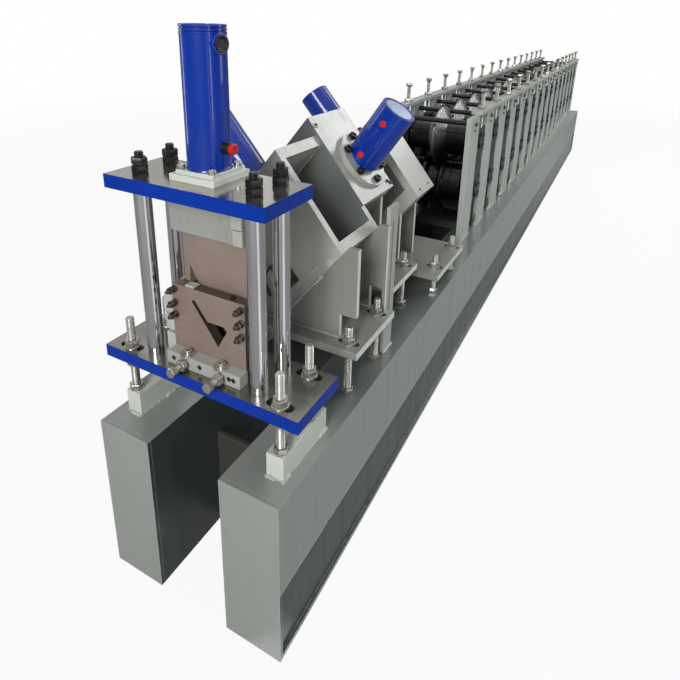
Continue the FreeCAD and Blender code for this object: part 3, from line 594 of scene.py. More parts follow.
# %% Laying copies
SOCKETS = {item.name: item.identifier for item in COPIES.interface.items_tree if item.in_out == "INPUT"}
FACES = {"up": (0, 0, 0), "down": (pi, 0, 0), "front": (pi / 2, 0, 0), "back": (-pi / 2, 0, 0),
         "right": (0, pi / 2, 0), "left": (0, -pi / 2, 0)}
patterns = []


def copies(name, part, points, face, finish, body=BASE, spin=2 * pi, seed=1, stands_for=()):
    """One piece with a copy of the part on every point."""
    cloud = bpy.data.meshes.new(name)
    cloud.from_pydata([tuple(p) for p in points], [], [])
    made = bpy.data.objects.new(name, cloud)
    bpy.context.scene.collection.objects.link(made)
    layer = made.modifiers.new("copies", "NODES")
    layer.node_group = COPIES
    turn = FACES[face] if isinstance(face, str) else face
    for key, value in {"Part": part, "Turn": turn, "Spin": float(spin), "Seed": seed,
                       "Finish": finish}.items():
        layer[SOCKETS[key]] = value
    graph = bpy.context.evaluated_depsgraph_get()
    real = bpy.data.meshes.new_from_object(made.evaluated_get(graph), depsgraph=graph)
    made.modifiers.remove(layer)
    made.data = real
    return settle(made, body, stands_for)


def pattern(name, bm, finish):
    """A part that is only copied from, and taken away at the end."""
    made = to_object(name, bm, finish)
    patterns.append(made)
    return made


print("ways to face:", len(FACES))

# %% [markdown]
# ## Nuts, washers, bolts and screws
# A nut is a hexagon with its corners taken off by a cone. A screw head is a short cylinder with a
# hexagon sunk in it. All are made standing up, with the seat at zero.

# %% Fastener patterns
def hexagon(bm, flat, low, high, chamfer, steps=6):
    reach = flat / sqrt(3)
    outline = [(low, 0), (low, reach * 0.93), (low + chamfer, reach), (high - chamfer, reach),
               (high, reach * 0.93), (high, 0)]
    lathe(bm, outline, (0, 0, 0), (0, 0, 1), steps)


def nut_pattern(name, flat, height, finish):
    bm = bmesh.new()
    hexagon(bm, flat, 0, height, flat * 0.06)
    return pattern(name, bm, finish)


def screw_pattern(name, radius, height, finish):
    """A socket head: the sunk hexagon is a short six-sided well."""
    bm = bmesh.new()
    well = radius * 0.52
    deep = height * 0.45
    lathe(bm, [(0, 0), (0, radius), (height - radius * 0.12, radius), (height, radius * 0.9),
               (height, radius * 0.62), (deep, well), (deep, 0)], (0, 0, 0), (0, 0, 1), 18)
    return pattern(name, bm, finish)


def disc_pattern(name, radius, height, finish, steps=24):
    bm = bmesh.new()
    edge = min(height, radius) * 0.2
    lathe(bm, [(0, 0), (0, radius), (height - edge, radius), (height, radius - edge), (height, 0)],
          (0, 0, 0), (0, 0, 1), steps)
    return pattern(name, bm, finish)


stud_nut = nut_pattern("stud_nut", 0.030, 0.016, zinc)
stud_washer = disc_pattern("stud_washer", 0.019, 0.003, zinc)
post_nut = nut_pattern("post_nut", 0.030, 0.0165, black_steel)
die_nut = nut_pattern("die_nut", 0.015, 0.0075, aged_steel)
set_bolt_head = nut_pattern("set_bolt_head", 0.021, 0.014, zinc)
set_bolt_nut = nut_pattern("set_bolt_nut", 0.024, 0.012, zinc)
foot_nut = nut_pattern("foot_nut", 0.014, 0.009, zinc)
big_screw = screw_pattern("big_screw", 0.0115, 0.013, black_steel)
black_screw = screw_pattern("black_screw", 0.009, 0.010, black_steel)
small_screw = screw_pattern("small_screw", 0.0055, 0.005, black_steel)
zinc_screw = screw_pattern("zinc_screw", 0.0085, 0.009, zinc)
hole_mark = disc_pattern("hole_mark", 0.0058, 0.0004, dark_hole)
print("fastener patterns:", len(patterns))

# %% [markdown]
# A screw thread at this scale reads as fine even ridges. Rings of two radii, one pitch apart, give
# that look with few faces, where a true helix would cost far more and look the same.

# %% Threads
def thread(bm, radius, pitch, base, axis, length, steps=16):
    outline = [(0, 0), (0, radius * 0.86)]
    count = int(length / pitch)
    for i in range(count):
        outline += [((i + 0.25) * pitch, radius), ((i + 0.75) * pitch, radius * 0.88)]
    outline += [(length, radius * 0.8), (length, 0)]
    lathe(bm, outline, base, axis, steps)


print("thread helper ready")

# %% [markdown]
# Every plate that has to be set level stands on studs: a nut at the foot, then one nut below the plate
# and one above it, each on a washer. A plate's slots are a little longer than its washers are wide, so
# their ends show on both sides, as dark discs of painted shade. Each row below is one group of studs:
# their places on the right, what they stand on, the under and upper face of the plate, and how far they
# rise above it.

# %% Levelling studs
STUD, STUD_PITCH, WASHER, NUT_AND_WASHER = 0.010, 0.0025, 0.003, 0.019
BAR_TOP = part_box("cutter_support_bars")[1].z
CUTTER_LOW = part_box("cutter_lower_plate")
STUD_GROUPS = [
    ([(0.213, 0.079), (0.213, 0.195)], BAR_TOP, CUTTER_LOW[0].z, CUTTER_LOW[1].z, 0.078),
    ([(0.212, 0.394), (0.212, 0.566)], BEAM_TOP, 0.580, 0.600, 0.046),
    ([(0.159, 0.759), (0.159, 0.904)], BEAM_TOP, 0.580, 0.600, 0.046),
    ([(0.226, 1.047), (0.226, 1.254)], BEAM_TOP, 0.530, 0.550, 0.046),
]
bm = bmesh.new()
nut_places, washer_places, slot_ends = [], [], []
for places, foot, under, over, rise in STUD_GROUPS:
    for x, y in places:
        for side in (-1, 1):
            thread(bm, STUD, STUD_PITCH, at(side * x, y, foot), (0, 0, 1), over - foot + rise)
            nut_places += [at(side * x, y, z) for z in (foot, under - NUT_AND_WASHER, over + WASHER)]
            washer_places += [at(side * x, y, z) for z in (under - WASHER, over)]
            if foot == BEAM_TOP:
                slot_ends += [at(side * x + off, y, over) for off in (-0.0215, 0.0215)]
piece("stud_threads", bm, zinc, stands_for=["levelling_studs"])
copies("stud_nuts", stud_nut, nut_places, "up", zinc)
copies("stud_washers", stud_washer, washer_places, "up", zinc)
# dark discs at the slot ends: painted shade
slot_end = disc_pattern("slot_end", 0.0085, 0.0004, dark_hole)
copies("stud_slot_ends", slot_end, slot_ends, "up", dark_hole)
print("studs:", len(nut_places) // 3)

# %% [markdown]
# ## The cutter's guide posts
# Four hard chrome posts carry the top plate. Each is turned down at its upper end to a thread that
# holds two black nuts, one locking the other.

# %% Posts and their nuts
TOP_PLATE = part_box("cutter_top_plate")
LOW_TOP = CUTTER_LOW[1].z
POSTS = [(sx * 0.149, 0.139 + sy * 0.0445) for sx in (-1, 1) for sy in (-1, 1)]
POST = 0.019
tall = TOP_PLATE[0].z - LOW_TOP
bm = bmesh.new()
ends = bmesh.new()
for x, y in POSTS:
    lathe(bm, [(0, 0), (0, POST - 0.0006), (0.0008, POST), (tall - 0.001, POST), (tall, POST - 0.001),
               (tall, 0)], at(x, y, LOW_TOP), (0, 0, 1), 48)
    thread(ends, STUD, STUD_PITCH, at(x, y, TOP_PLATE[0].z), (0, 0, 1), 0.076)
piece("guide_posts", bm, chrome, stands_for=["cutter_guide_posts"])
piece("post_thread_ends", ends, black_steel)
nuts = [at(x, y, TOP_PLATE[1].z + lift) for x, y in POSTS for lift in (0, 0.0175)]
copies("post_lock_nuts", post_nut, nuts, "up", black_steel, seed=4, stands_for=["cutter_post_nuts"])
print("posts:", len(POSTS))

# %% [markdown]
# ## The cutter's oil cylinder
# The barrel is a tube whose screwed end shows as three rings at the top. It stands on a square collar
# and a square flange. Two oil ports look to the right: the upper one is plugged, the lower one capped.

# %% Upright cylinder
ROD_Y = 0.144
FLANGE_TOP = TOP_PLATE[1].z + 0.014
COLLAR_TOP = FLANGE_TOP + 0.008
BARREL_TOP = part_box("cutter_cylinder")[1].z


def barrel(bm, base, axis, length, radius=0.0525, steps=56):
    """A cylinder barrel with a sunk end cap."""
    wall = radius - 0.010
    outline = [(0, 0), (0, radius), (length - 0.0015, radius), (length, radius - 0.0015),
               (length, wall), (length - 0.006, wall - 0.0005)]
    lathe(bm, outline + [(length - 0.006, 0)], base, axis, steps)


bm = bmesh.new()
tall = BARREL_TOP - COLLAR_TOP
rings = [(tall - 0.0185, 0.0452)]
for low in (tall - 0.018, tall - 0.012, tall - 0.0055):
    rings += [(low, 0.046), (low + 0.0042, 0.046), (low + 0.0047, 0.0438), (low + 0.0055, 0.0438)]
outline = [(0, 0), (0, 0.0468), (0.003, 0.0462), (0.0045, 0.0452)] + rings[:-2]
lathe(bm, outline + [(tall, 0.045), (tall, 0.036), (tall - 0.004, 0.0355), (tall - 0.004, 0)],
      at(0, ROD_Y, COLLAR_TOP), (0, 0, 1), 64)
piece("upright_barrel", bm, gloss_blue, stands_for=["cutter_cylinder"])
bm = bmesh.new()
for half, low, high in ((0.058, TOP_PLATE[1].z, FLANGE_TOP), (0.0485, FLANGE_TOP, COLLAR_TOP)):
    block(bm, at(-half, ROD_Y - half, low), at(half, ROD_Y + half, high), 0.0015)
piece("upright_flange", bm, bar_paint)
corners = [at(sx * 0.0405, ROD_Y + sy * 0.0405, COLLAR_TOP) for sx in (-1, 1) for sy in (-1, 1)]
copies("upright_flange_screws", zinc_screw, corners, "up", zinc)
print("cylinder height %.3f m" % tall)

# %% [markdown]
# An oil port is a black fitting with a red cap over its mouth, or a wide painted boss with a dished
# black plug. Each is turned about the port's own direction.

# %% Oil ports
bosses, fittings, caps = bmesh.new(), bmesh.new(), bmesh.new()


def capped_port(place, way, reach, radius):
    """A black fitting, then a red cap with a sunk face."""
    lathe(fittings, [(-0.010, 0), (-0.010, radius), (reach, radius), (reach + 0.001, radius - 0.001),
                     (reach + 0.001, 0)], place, way, 24)
    base = reach + 0.001
    lathe(caps, [(base, 0), (base, radius - 0.0012), (base + 0.008, radius - 0.0012),
                 (base + 0.0095, radius - 0.003), (base + 0.0095, radius * 0.55),
                 (base + 0.007, radius * 0.5), (base + 0.007, 0)], place, way, 24)


def flush_cap(place, way, radius=0.0098):
    """A red plug that sits almost flush in the barrel."""
    lathe(caps, [(-0.006, 0), (-0.006, radius), (0.0035, radius), (0.005, radius - 0.0015),
                 (0.005, radius * 0.5), (0.003, radius * 0.4), (0.003, 0)], place, way, 20)


upper_aim = Vector((0.99, -0.14, 0)).normalized()
middle = at(0, ROD_Y, 1.340) + upper_aim * 0.046
lathe(bosses, [(-0.016, 0), (-0.016, 0.0205), (0.0035, 0.0205), (0.0055, 0.0185), (0.0055, 0.0170),
               (0.002, 0.0168), (0.002, 0)], middle, upper_aim, 32)
lathe(fittings, [(0.003, 0), (0.003, 0.0168), (0.0072, 0.0168), (0.008, 0.0158), (0.008, 0.0135),
                 (0.0045, 0.009), (0.0045, 0)], middle, upper_aim, 32)
lower_aim = Vector((0.998, -0.068, 0)).normalized()
capped_port(at(0, ROD_Y, 1.139) + lower_aim * 0.045, lower_aim, 0.0165, 0.0124)
print("upright ports made")

# %% [markdown]
# ## The slanted press cylinders
# Each sits on a thick plate with a round flange and six screws. The plates lie on two slopes, so a
# helper gives a place from how far it lies down to the right and how far up to the right. The barrels
# lean a few degrees away from their plates, so each has a direction of its own. The last value of a
# row is the barrel's length.

# %% Slopes and leans of the presses
SLOPE = radians(51)
PRESS_Z = BEAM_TOP + 0.402


def slope_place(stroke, cross, y):
    return at(cos(SLOPE) * (stroke + cross), y, PRESS_Z + sin(SLOPE) * (cross - stroke))


LEFT_WAY = Vector((-cos(SLOPE), 0, sin(SLOPE)))
RIGHT_WAY = Vector((cos(SLOPE), 0, sin(SLOPE)))
ALONG = Vector((0, 1, 0))
LEFT_LEAN, RIGHT_LEAN = radians(49), radians(56)
LEFT_BARREL = Vector((-cos(LEFT_LEAN), 0, sin(LEFT_LEAN)))
RIGHT_BARREL = Vector((cos(RIGHT_LEAN), 0, sin(RIGHT_LEAN)))
LEFT = (LEFT_BARREL, LEFT_WAY, RIGHT_WAY)
RIGHT = (RIGHT_BARREL, RIGHT_WAY, -LEFT_WAY)
PRESSES = [("press_cylinder_1", slope_place(-0.155, -0.048, 0.490), LEFT, 0.245),
           ("press_cylinder_2", slope_place(-0.030, 0.144, 0.7225), RIGHT, 0.200),
           ("press_cylinder_3", slope_place(-0.155, -0.048, 1.0575), LEFT, 0.245)]
print("presses:", len(PRESSES))

# %% [markdown]
# The flange lies flat on its plate though the barrel leans, so it is made from the plate's two
# directions and not with the lathe. The sawn end of each barrel is a thin pale disc.

# %% Slanted cylinders
def flange(bm, foot, way, level, radius=0.090, thick=0.015, steps=64):
    """A round flange flat on its plate, though the barrel leans."""
    rings = []
    for lift, reach in ((0, radius), (thick - 0.001, radius), (thick, radius - 0.001)):
        turns = [2 * pi * i / steps for i in range(steps)]
        rings.append([bm.verts.new(foot + way * lift + (level * cos(a) + ALONG * sin(a)) * reach)
                      for a in turns])
    faces = [bm.faces.new(rings[0]), bm.faces.new(rings[-1])]
    for low, high in zip(rings, rings[1:]):
        for i in range(steps):
            j = (i + 1) % steps
            faces.append(bm.faces.new((low[i], low[j], high[j], high[i])))
    bmesh.ops.recalc_face_normals(bm, faces=faces)


flanges = bmesh.new()
ends = bmesh.new()
heads = []
for node, foot, (lean, way, level), length in PRESSES:
    bm = bmesh.new()
    barrel(bm, foot + lean * 0.012, lean, length - 0.012)
    piece(node + "_barrel", bm, gloss_blue, stands_for=[node])
    flange(flanges, foot, way, level)
    lathe(ends, [(0, 0), (0, 0.0418), (0.0052, 0.0418), (0.0056, 0.040), (0.0056, 0)],
          foot + lean * (length - 0.0062), lean, 48)
    for along in (0.042, 0.156):
        side = -ALONG if way is RIGHT_WAY else ALONG
        flush_cap(foot + lean * along + side * 0.0515, side)
    for i in range(6):
        a = radians(-5 + 60 * i)
        heads.append((foot + way * 0.015 + (level * cos(a) + ALONG * sin(a)) * 0.073, way))
piece("press_flanges", flanges, press_paint)
piece("barrel_end_faces", ends, pale_end)
for name, way in (("left", LEFT_WAY), ("right", RIGHT_WAY)):
    turn = way.to_track_quat("Z", "Y").to_euler()
    points = [p for p, w in heads if w is way]
    copies("press_flange_screws_" + name, big_screw, points, tuple(turn), black_steel)
piece("port_bosses", bosses, gloss_blue)
piece("port_fittings", fittings, black_steel)
piece("port_caps", caps, red_cap)
print("flange screws:", len(heads))

# %% [markdown]
# ## Small things on the presses
# Thin strips are welded on the slanted plates, with a dark joint beside one of them, and a panel closes
# the far press; the panel is real, and its darker grey is painted shade. A slope bar is a box whose sides
# follow the two slopes.

# %% Strips and panel of the presses
def slope_bar(bm, strokes, crosses, ys, bevel=0.0008):
    """A box between two strokes, two cross distances and two places along the machine."""
    corners = [bm.verts.new(slope_place(t, w, y)) for y in ys for t, w in
               ((strokes[0], crosses[0]), (strokes[1], crosses[0]), (strokes[1], crosses[1]),
                (strokes[0], crosses[1]))]
    order = [(0, 1, 2, 3), (7, 6, 5, 4), (0, 4, 5, 1), (1, 5, 6, 2), (2, 6, 7, 3), (3, 7, 4, 0)]
    faces = [bm.faces.new([corners[i] for i in face]) for face in order]
    bmesh.ops.recalc_face_normals(bm, faces=faces)
    edges = list({e for f in faces for e in f.edges})
    bmesh.ops.bevel(bm, geom=edges, offset=bevel, segments=2, profile=0.7, affect="EDGES")


bm = bmesh.new()
slope_bar(bm, (0.131, 0.135), (-0.085, 0.045), (0.3975, 0.4005))
slope_bar(bm, (0.1552, 0.1594), (-0.128, 0.022), (0.3965, 0.4022), 0.0005)
slope_bar(bm, (0.140, 0.1548), (0.080, 0.100), (0.3965, 0.4005))
piece("press_strips", bm, column_paint)
bm = bmesh.new()
slope_bar(bm, (0.1541, 0.1551), (-0.128, 0.030), (0.3975, 0.4005), 0.0002)
piece("press_joint_line", bm, dark_hole)
bm = bmesh.new()
# the far press's panel, in the darker grey of painted shade
slope_bar(bm, (-0.006, 0.105), (-0.048, 0.088), (0.9735, 0.9752))
piece("far_press_panel", bm, shaded_paint)
print("strips made")

# %% [markdown]
# A lifting hole goes through the near press's plate, with a bright rim where the drill broke the paint.
# Smaller holes, two corner screws and two bent black brackets finish the presses. A short dark disc
# stands in for each hole as painted shade, because so small a hole shows no depth.

# %% Holes, screws and brackets of the presses
rims, wells = bmesh.new(), bmesh.new()
for t, w, y in ((-0.181, 0.144, 0.614), (0.134, 0.116, 1.106), (0.136, 0.116, 1.022)):
    place = slope_place(t, w, y)
    on_near_press = y < 1
    size = 0.011 if on_near_press else 0.0075
    ring = size * 0.66
    if on_near_press:
        lathe(rims, [(-0.001, ring), (0.0012, ring), (0.0012, size), (-0.001, size)], place, RIGHT_WAY, 28)
    # a dark disc of painted shade in each hole
    well = size * 0.68
    lathe(wells, [(-0.001, 0), (-0.001, well), (0.0006, well), (0.0006, 0)], place, RIGHT_WAY, 28)
piece("hole_rims", rims, zinc)
piece("hole_wells", wells, dark_hole)
turn = tuple(RIGHT_WAY.to_track_quat("Z", "Y").to_euler())
corner_screws = [slope_place(t, 0.144, y) for t, y in ((0.060, 0.795), (0.069, 0.807))]
copies("corner_screws", small_screw, corner_screws, turn, black_steel, seed=5)
hooks = bmesh.new()
hook_line = [at(x, 0.397, z) for x, z in
             ((-0.032, 0.754), (-0.053, 0.713), (-0.047, 0.679), (-0.031, 0.665))]
for a, b in zip(hook_line, hook_line[1:]):
    reach = (b - a).length
    lathe(hooks, [(0, 0), (0, 0.0028), (reach, 0.0028), (reach, 0)], a, b - a, 12)
slope_bar(hooks, (-0.205, -0.150), (0.110, 0.116), (0.8155, 0.8185))
slope_bar(hooks, (-0.205, -0.199), (0.060, 0.116), (0.8155, 0.8185))
piece("bent_brackets", hooks, black_steel)
copies("bracket_bolt", die_nut, [at(-0.047, 0.400, 0.679)], "front", aged_steel)
print("press details made")

# %% [markdown]
# ## The cutter's fittings
# The front die is held by six studs with double nuts. A block at its foot carries two bolts that push
# it back, and small screws from above.

# %% Die studs and set bolts
DIE_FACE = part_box("die_front_plate")[0].y + HALF_LENGTH
DIE_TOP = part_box("die_front_plate")[1].z
studs = [(-0.0845, z) for z in (0.808, 0.774, 0.745)] + [(0.1005, z) for z in (0.807, 0.775, 0.742)]
bm = bmesh.new()
for x, z in studs:
    thread(bm, 0.0045, 0.0018, at(x, DIE_FACE, z), (0, -1, 0), 0.026, 12)
piece("die_stud_threads", bm, aged_steel)
seats = [at(x, y, z) for x, z in studs for y in (DIE_FACE, DIE_FACE - 0.011)]
copies("die_stud_nuts", die_nut, seats, "front", aged_steel, seed=6)
SET_BOLTS, BLOCK_SCREWS, BLOCK_FACE = (-0.041, 0.061), (-0.044, 0.052), 0.0762
bm = bmesh.new()
for x in SET_BOLTS:
    thread(bm, 0.006, 0.002, at(x, BLOCK_FACE, 0.645), (0, -1, 0), 0.040, 12)
piece("set_bolt_threads", bm, zinc)
copies("set_bolt_nuts", set_bolt_nut, [at(x, 0.069, 0.645) for x in SET_BOLTS], "front", zinc, seed=2)
copies("set_bolt_heads", set_bolt_head, [at(x, 0.041, 0.645) for x in SET_BOLTS], "front", zinc, seed=3)
block_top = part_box("die_clamp_blocks")[0].z + 0.030
for name, part, lift in (("block_washers", stud_washer, -0.0015), ("block_screws", zinc_screw, 0.001)):
    copies(name, part, [at(x, 0.0895, block_top + lift) for x in BLOCK_SCREWS], "up", zinc)
# dark discs of painted shade for the block's holes
holes = [at(x, BLOCK_FACE, 0.646) for x in (-0.076, 0.000, 0.082, 0.094)]
copies("block_holes", hole_mark, holes, "front", dark_hole)
copies("die_top_screw", small_screw, [at(0.069, 0.117, DIE_TOP)], "up", black_steel)
print("die studs:", len(studs))

# %% [markdown]
# Three small blocks clamp the die from its left. The blade holder, which moves with the ram, carries a
# stepped gauge at its right, with dark joints beside it. Its rod shows only when the blade is down. It
# is hard chromed as such rods are, so a thin skin of chrome rides on it.

# %% Side blocks, gauge, joints and rod
bm = bmesh.new()
for low, high in ((0.742, 0.792), (0.698, 0.736), (0.632, 0.690)):
    block(bm, at(-0.117, 0.101, low), at(-0.0925, 0.127, high), 0.0015)
block(bm, at(-0.056, 0.106, DIE_TOP), at(-0.032, 0.127, DIE_TOP + 0.004), 0.0008)
piece("die_side_blocks", bm, column_paint)
HOLDER_LOW, PISTON_TOP = (corner.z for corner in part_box("blade_holder"))
HOLDER_TOP = HOLDER_LOW + 0.096
HOLDER_FACE = ROD_Y - 0.027
GAUGE_TOP = 1.0385
bm = bmesh.new()
block(bm, at(0.078, HOLDER_FACE - 0.008, 0.982), at(0.1035, HOLDER_FACE, GAUGE_TOP), 0.001)
block(bm, at(0.080, HOLDER_FACE - 0.007, HOLDER_LOW + 0.002), at(0.1035, HOLDER_FACE, 0.979), 0.001)
piece("holder_gauge", bm, press_paint, RAM)
bm = bmesh.new()
front, back = HOLDER_FACE - 0.0004, HOLDER_FACE + 0.002
block(bm, at(0.0758, front, HOLDER_LOW + 0.001), at(0.0772, back, GAUGE_TOP), 0)
block(bm, at(-0.0970, front, 1.0375), at(0.0775, back, 1.0392), 0)
piece("holder_seams", bm, dark_hole, RAM)
ROD_SKIN = 0.0213
bm = bmesh.new()
reach = PISTON_TOP - 0.024 - HOLDER_TOP - 0.0005
lathe(bm, [(0, 0), (0, ROD_SKIN), (reach, ROD_SKIN), (reach, 0)], at(0, ROD_Y, HOLDER_TOP), (0, 0, 1), 48)
piece("ram_rod_skin", bm, chrome, RAM)
print("rod shows up to %.3f m" % reach)

# %% [markdown]
# ## Rolls
# The V of a roll is turned from bright steel in steps that catch the light, and it sits between two
# wide black collars. On the lower rolls the V takes a darker copy of that steel, painted shade. A roll's
# shape is an outline turned about its shaft, so these outlines are all that has to be drawn: half of
# each, from the middle of the V outwards.

# %% Outlines of the rolls
SHAFT = 0.022
SHAFT_END = 0.180


def ribbed(start, end, count, depth):
    """Small steps on a straight flank, always inside it."""
    points = []
    for i in range(count):
        for share, sink in ((0.06, depth), (0.20, 0.0), (0.80, 0.0), (0.94, depth)):
            t = (i + share) / count
            x = start[0] + (end[0] - start[0]) * t
            radius = start[1] + (end[1] - start[1]) * t
            points.append((x - sink * 0.9, radius - sink * 0.5))
    return points


UPPER_V = [(0.0, 0.1335), (0.0032, 0.1335)] + ribbed((0.004, 0.134), (0.038, 0.074), 6, 0.0030)
UPPER_V += [(0.0378, 0.073), (0.0378, 0.066)]
LOWER_V = [(0.0, 0.0888), (0.0036, 0.0888), (0.0352, 0.1335), (0.036, 0.1338), (0.0485, 0.1338),
           (0.0495, 0.1325), (0.0495, 0.080)]


def collars(radius, start):
    """Two spacers on each side of the V, parted by narrow grooves, then the bare shaft."""
    half = [(0.0, radius - 0.004), (start, radius - 0.004), (start + 0.0005, radius - 0.001)]
    for low, high in ((start + 0.001, 0.083), (0.086, 0.1305)):
        half += [(low, radius), (high, radius), (high + 0.001, radius - 0.002)]
    return half + [(0.132, radius - 0.003), (0.132, SHAFT), (SHAFT_END - 0.001, SHAFT - 0.0002),
                   (SHAFT_END, SHAFT - 0.0012)]


UPPER_BODY = collars(0.070, 0.0375)
LOWER_BODY = collars(0.118, 0.0490)
print("points in half an upper V:", len(UPPER_V))

# %% [markdown]
# Every shaft turns on a body of its own, so each roll is two pieces that ride that body: the V ring,
# and the collars with the shaft. The record says which body each roll's node belongs to.

# %% Rolls and shafts
def both_ways(half):
    """A half outline from the middle out, mirrored about the middle."""
    return [(-x, r) for x, r in reversed(half)] + [(x, r) for x, r in half if x > 0]


def turned(name, half, node, body, finish, solid, steps, stands_for=()):
    """Turn an outline: a solid reaches its own axis, and a ring closes on its bore."""
    low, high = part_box(node)
    middle = (low + high) / 2
    bm = bmesh.new()
    outline = both_ways(half)
    if solid:
        outline = [(outline[0][0], 0)] + outline + [(outline[-1][0], 0)]
    else:
        outline.append(outline[0])
    lathe(bm, outline, middle, (1, 0, 0), steps)
    bmesh.ops.remove_doubles(bm, verts=bm.verts, dist=0.00001)
    return piece(name, bm, finish, body, stands_for)


BODY_OF = {names[0]: body for body, names in frame["record"]["behaviour"]["bodies"].items()
           if "_shaft_" in body}
for node, body in sorted(BODY_OF.items()):
    upper = node.startswith("upper")
    # the lower V rings take the darker copy of the roll steel, painted shade
    turned(node + "_v_ring", UPPER_V if upper else LOWER_V, node, body, roll_steel if upper else shaded_roll,
           False, 64, [node])
    turned(node + "_collars", UPPER_BODY if upper else LOWER_BODY, node, body, roll_black, True, 48)
print("rolls:", len(BODY_OF))

# %% [markdown]
# ## Adjusting bolts, covers and tie bars
# Above every window a long bolt presses on the upper bearing block. Under its head it is threaded,
# and a nut locks it on the cap.

# %% Adjusting bolts
BAYS = 15
PITCH = 0.279
FIRST_COLUMN = 1.533
COLUMN = 0.142
COLUMN_IN, COLUMN_OUT, BOLT_X = 0.166, 0.186, 0.174
CAP_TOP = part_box("stand_caps")[1].z
BOLT_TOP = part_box("adjusting_bolts")[1].z
bay_middles = [FIRST_COLUMN + COLUMN + (PITCH - COLUMN) / 2 + PITCH * i for i in range(BAYS)]
bolt_head = nut_pattern("bolt_head", 0.027, 0.013, zinc)
bolt_nut = nut_pattern("bolt_nut", 0.032, 0.015, zinc)
bm = bmesh.new()
tops = []
for y in bay_middles:
    for side in (-1, 1):
        tops.append(at(side * BOLT_X, y, CAP_TOP))
        thread(bm, 0.009, 0.0025, at(side * BOLT_X, y, CAP_TOP - 0.084), (0, 0, 1), 0.16, 12)
piece("adjusting_bolt_threads", bm, zinc, stands_for=["adjusting_bolts"])
copies("adjusting_bolt_nuts", bolt_nut, tops, "up", zinc, seed=7)
heads = [p + Vector((0, 0, BOLT_TOP - CAP_TOP - 0.013)) for p in tops]
copies("adjusting_bolt_heads", bolt_head, heads, "up", zinc, seed=8)
print("bolts:", len(tops))

# %% [markdown]
# A black screw holds each tie bar to its column, with a pin below it. At the foot of every window a
# small plated clip with one nut keeps the lower block in place. Black blocks fill the windows behind
# the two bearing blocks as painted shade.

# %% Tie bar screws, foot clips and shade fillers
tie_z = sum(corner.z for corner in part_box("column_tie_bars")) / 2
column_middles = [FIRST_COLUMN + COLUMN / 2 + PITCH * i for i in range(BAYS + 1)]
for name, side in (("left", -1), ("right", 1)):
    places = [at(side * COLUMN_OUT, y, tie_z) for y in column_middles]
    copies("tie_bar_screws_" + name, black_screw, places, name, aged_steel)
    places = [at(side * COLUMN_OUT, y, tie_z - 0.028) for y in column_middles]
    copies("column_pins_" + name, small_screw, places, name, aged_steel, seed=9)


def stand_block(bm, side, x, y, rise, bevel):
    """A block beside the left or right row, whose height is counted from the beam's top."""
    near, far = sorted((side * x[0], side * x[1]))
    block(bm, at(near, y[0], BEAM_TOP + rise[0]), at(far, y[1], BEAM_TOP + rise[1]), bevel)


clips, shade_fillers = bmesh.new(), bmesh.new()
clip_nuts = []
for y in bay_middles:
    for side in (-1, 1):
        clip_x = (COLUMN_IN, COLUMN_OUT)
        stand_block(clips, side, clip_x, (y + 0.060, y + 0.068), (0, 0.056), 0.001)
        stand_block(clips, side, clip_x, (y + 0.034, y + 0.060), (0, 0.006), 0.001)
        clip_nuts.append(at(side * 0.176, y + 0.046, BEAM_TOP + 0.006))
        # black blocks that fill the window as painted shade
        stand_block(shade_fillers, side, (0.150, 0.180), (y - 0.067, y + 0.067), (0.2565, 0.3745), 0.002)
        stand_block(shade_fillers, side, (0.146, 0.165), (y - 0.060, y + 0.060), (0.0005, 0.1455), 0.002)
piece("foot_clips", clips, zinc)
copies("foot_clip_nuts", foot_nut, clip_nuts, "up", zinc, seed=11)
piece("block_spacers", shade_fillers, block_black)
print("clips:", len(clip_nuts))

# %% [markdown]
# Each bearing block has a round cover held by four screws. All face outwards, on both sides.

# %% Cover screws
COVER_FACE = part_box("bearing_blocks")[1].x
screws = []
for y in bay_middles:
    for z in (BEAM_TOP + 0.201, BEAM_TOP + 0.430):
        for i in range(4):
            a = pi / 4 + i * pi / 2
            screws.append((y + 0.031 * cos(a), z + 0.031 * sin(a)))
for name, side in (("left", -1), ("right", 1)):
    places = [at(side * COVER_FACE, y, z) for y, z in screws]
    copies("cover_screws_" + name, small_screw, places, name, black_steel)
print("cover screws:", 2 * len(screws))

# %% [markdown]
# ## Welds
# Thick plates are joined by beads of weld. A bead is a row of small overlapping domes, so the copy
# tree can lay it too: points along a line, each nudged a little by a wave, and one dome.

# %% A seam of weld
bm = bmesh.new()
lathe(bm, [(-0.0030, 0), (-0.0014, 0.0030), (0.0014, 0.0030), (0.0030, 0)], (0, 0, 0), (0, 0, 1), 6)
bead = pattern("weld_bead", bm, press_paint)
BEAD_STEP = 0.0036


def seam(start, end):
    """Points along a line, with a small steady wander."""
    count = max(2, int((end - start).length / BEAD_STEP))
    wander = [Vector((sin(i * 1.7), cos(i * 2.3), sin(i * 2.9))) * 0.0007 for i in range(count)]
    return [start + (end - start) * (i / (count - 1)) + wander[i] for i in range(count)]


print("bead step: %.1f mm" % (BEAD_STEP * 1000))

# %% [markdown]
# The seams follow the edges where plates meet: round the support bars, along the slanted plates, at the
# side bars' feet, under the stands and at the foot of every column.

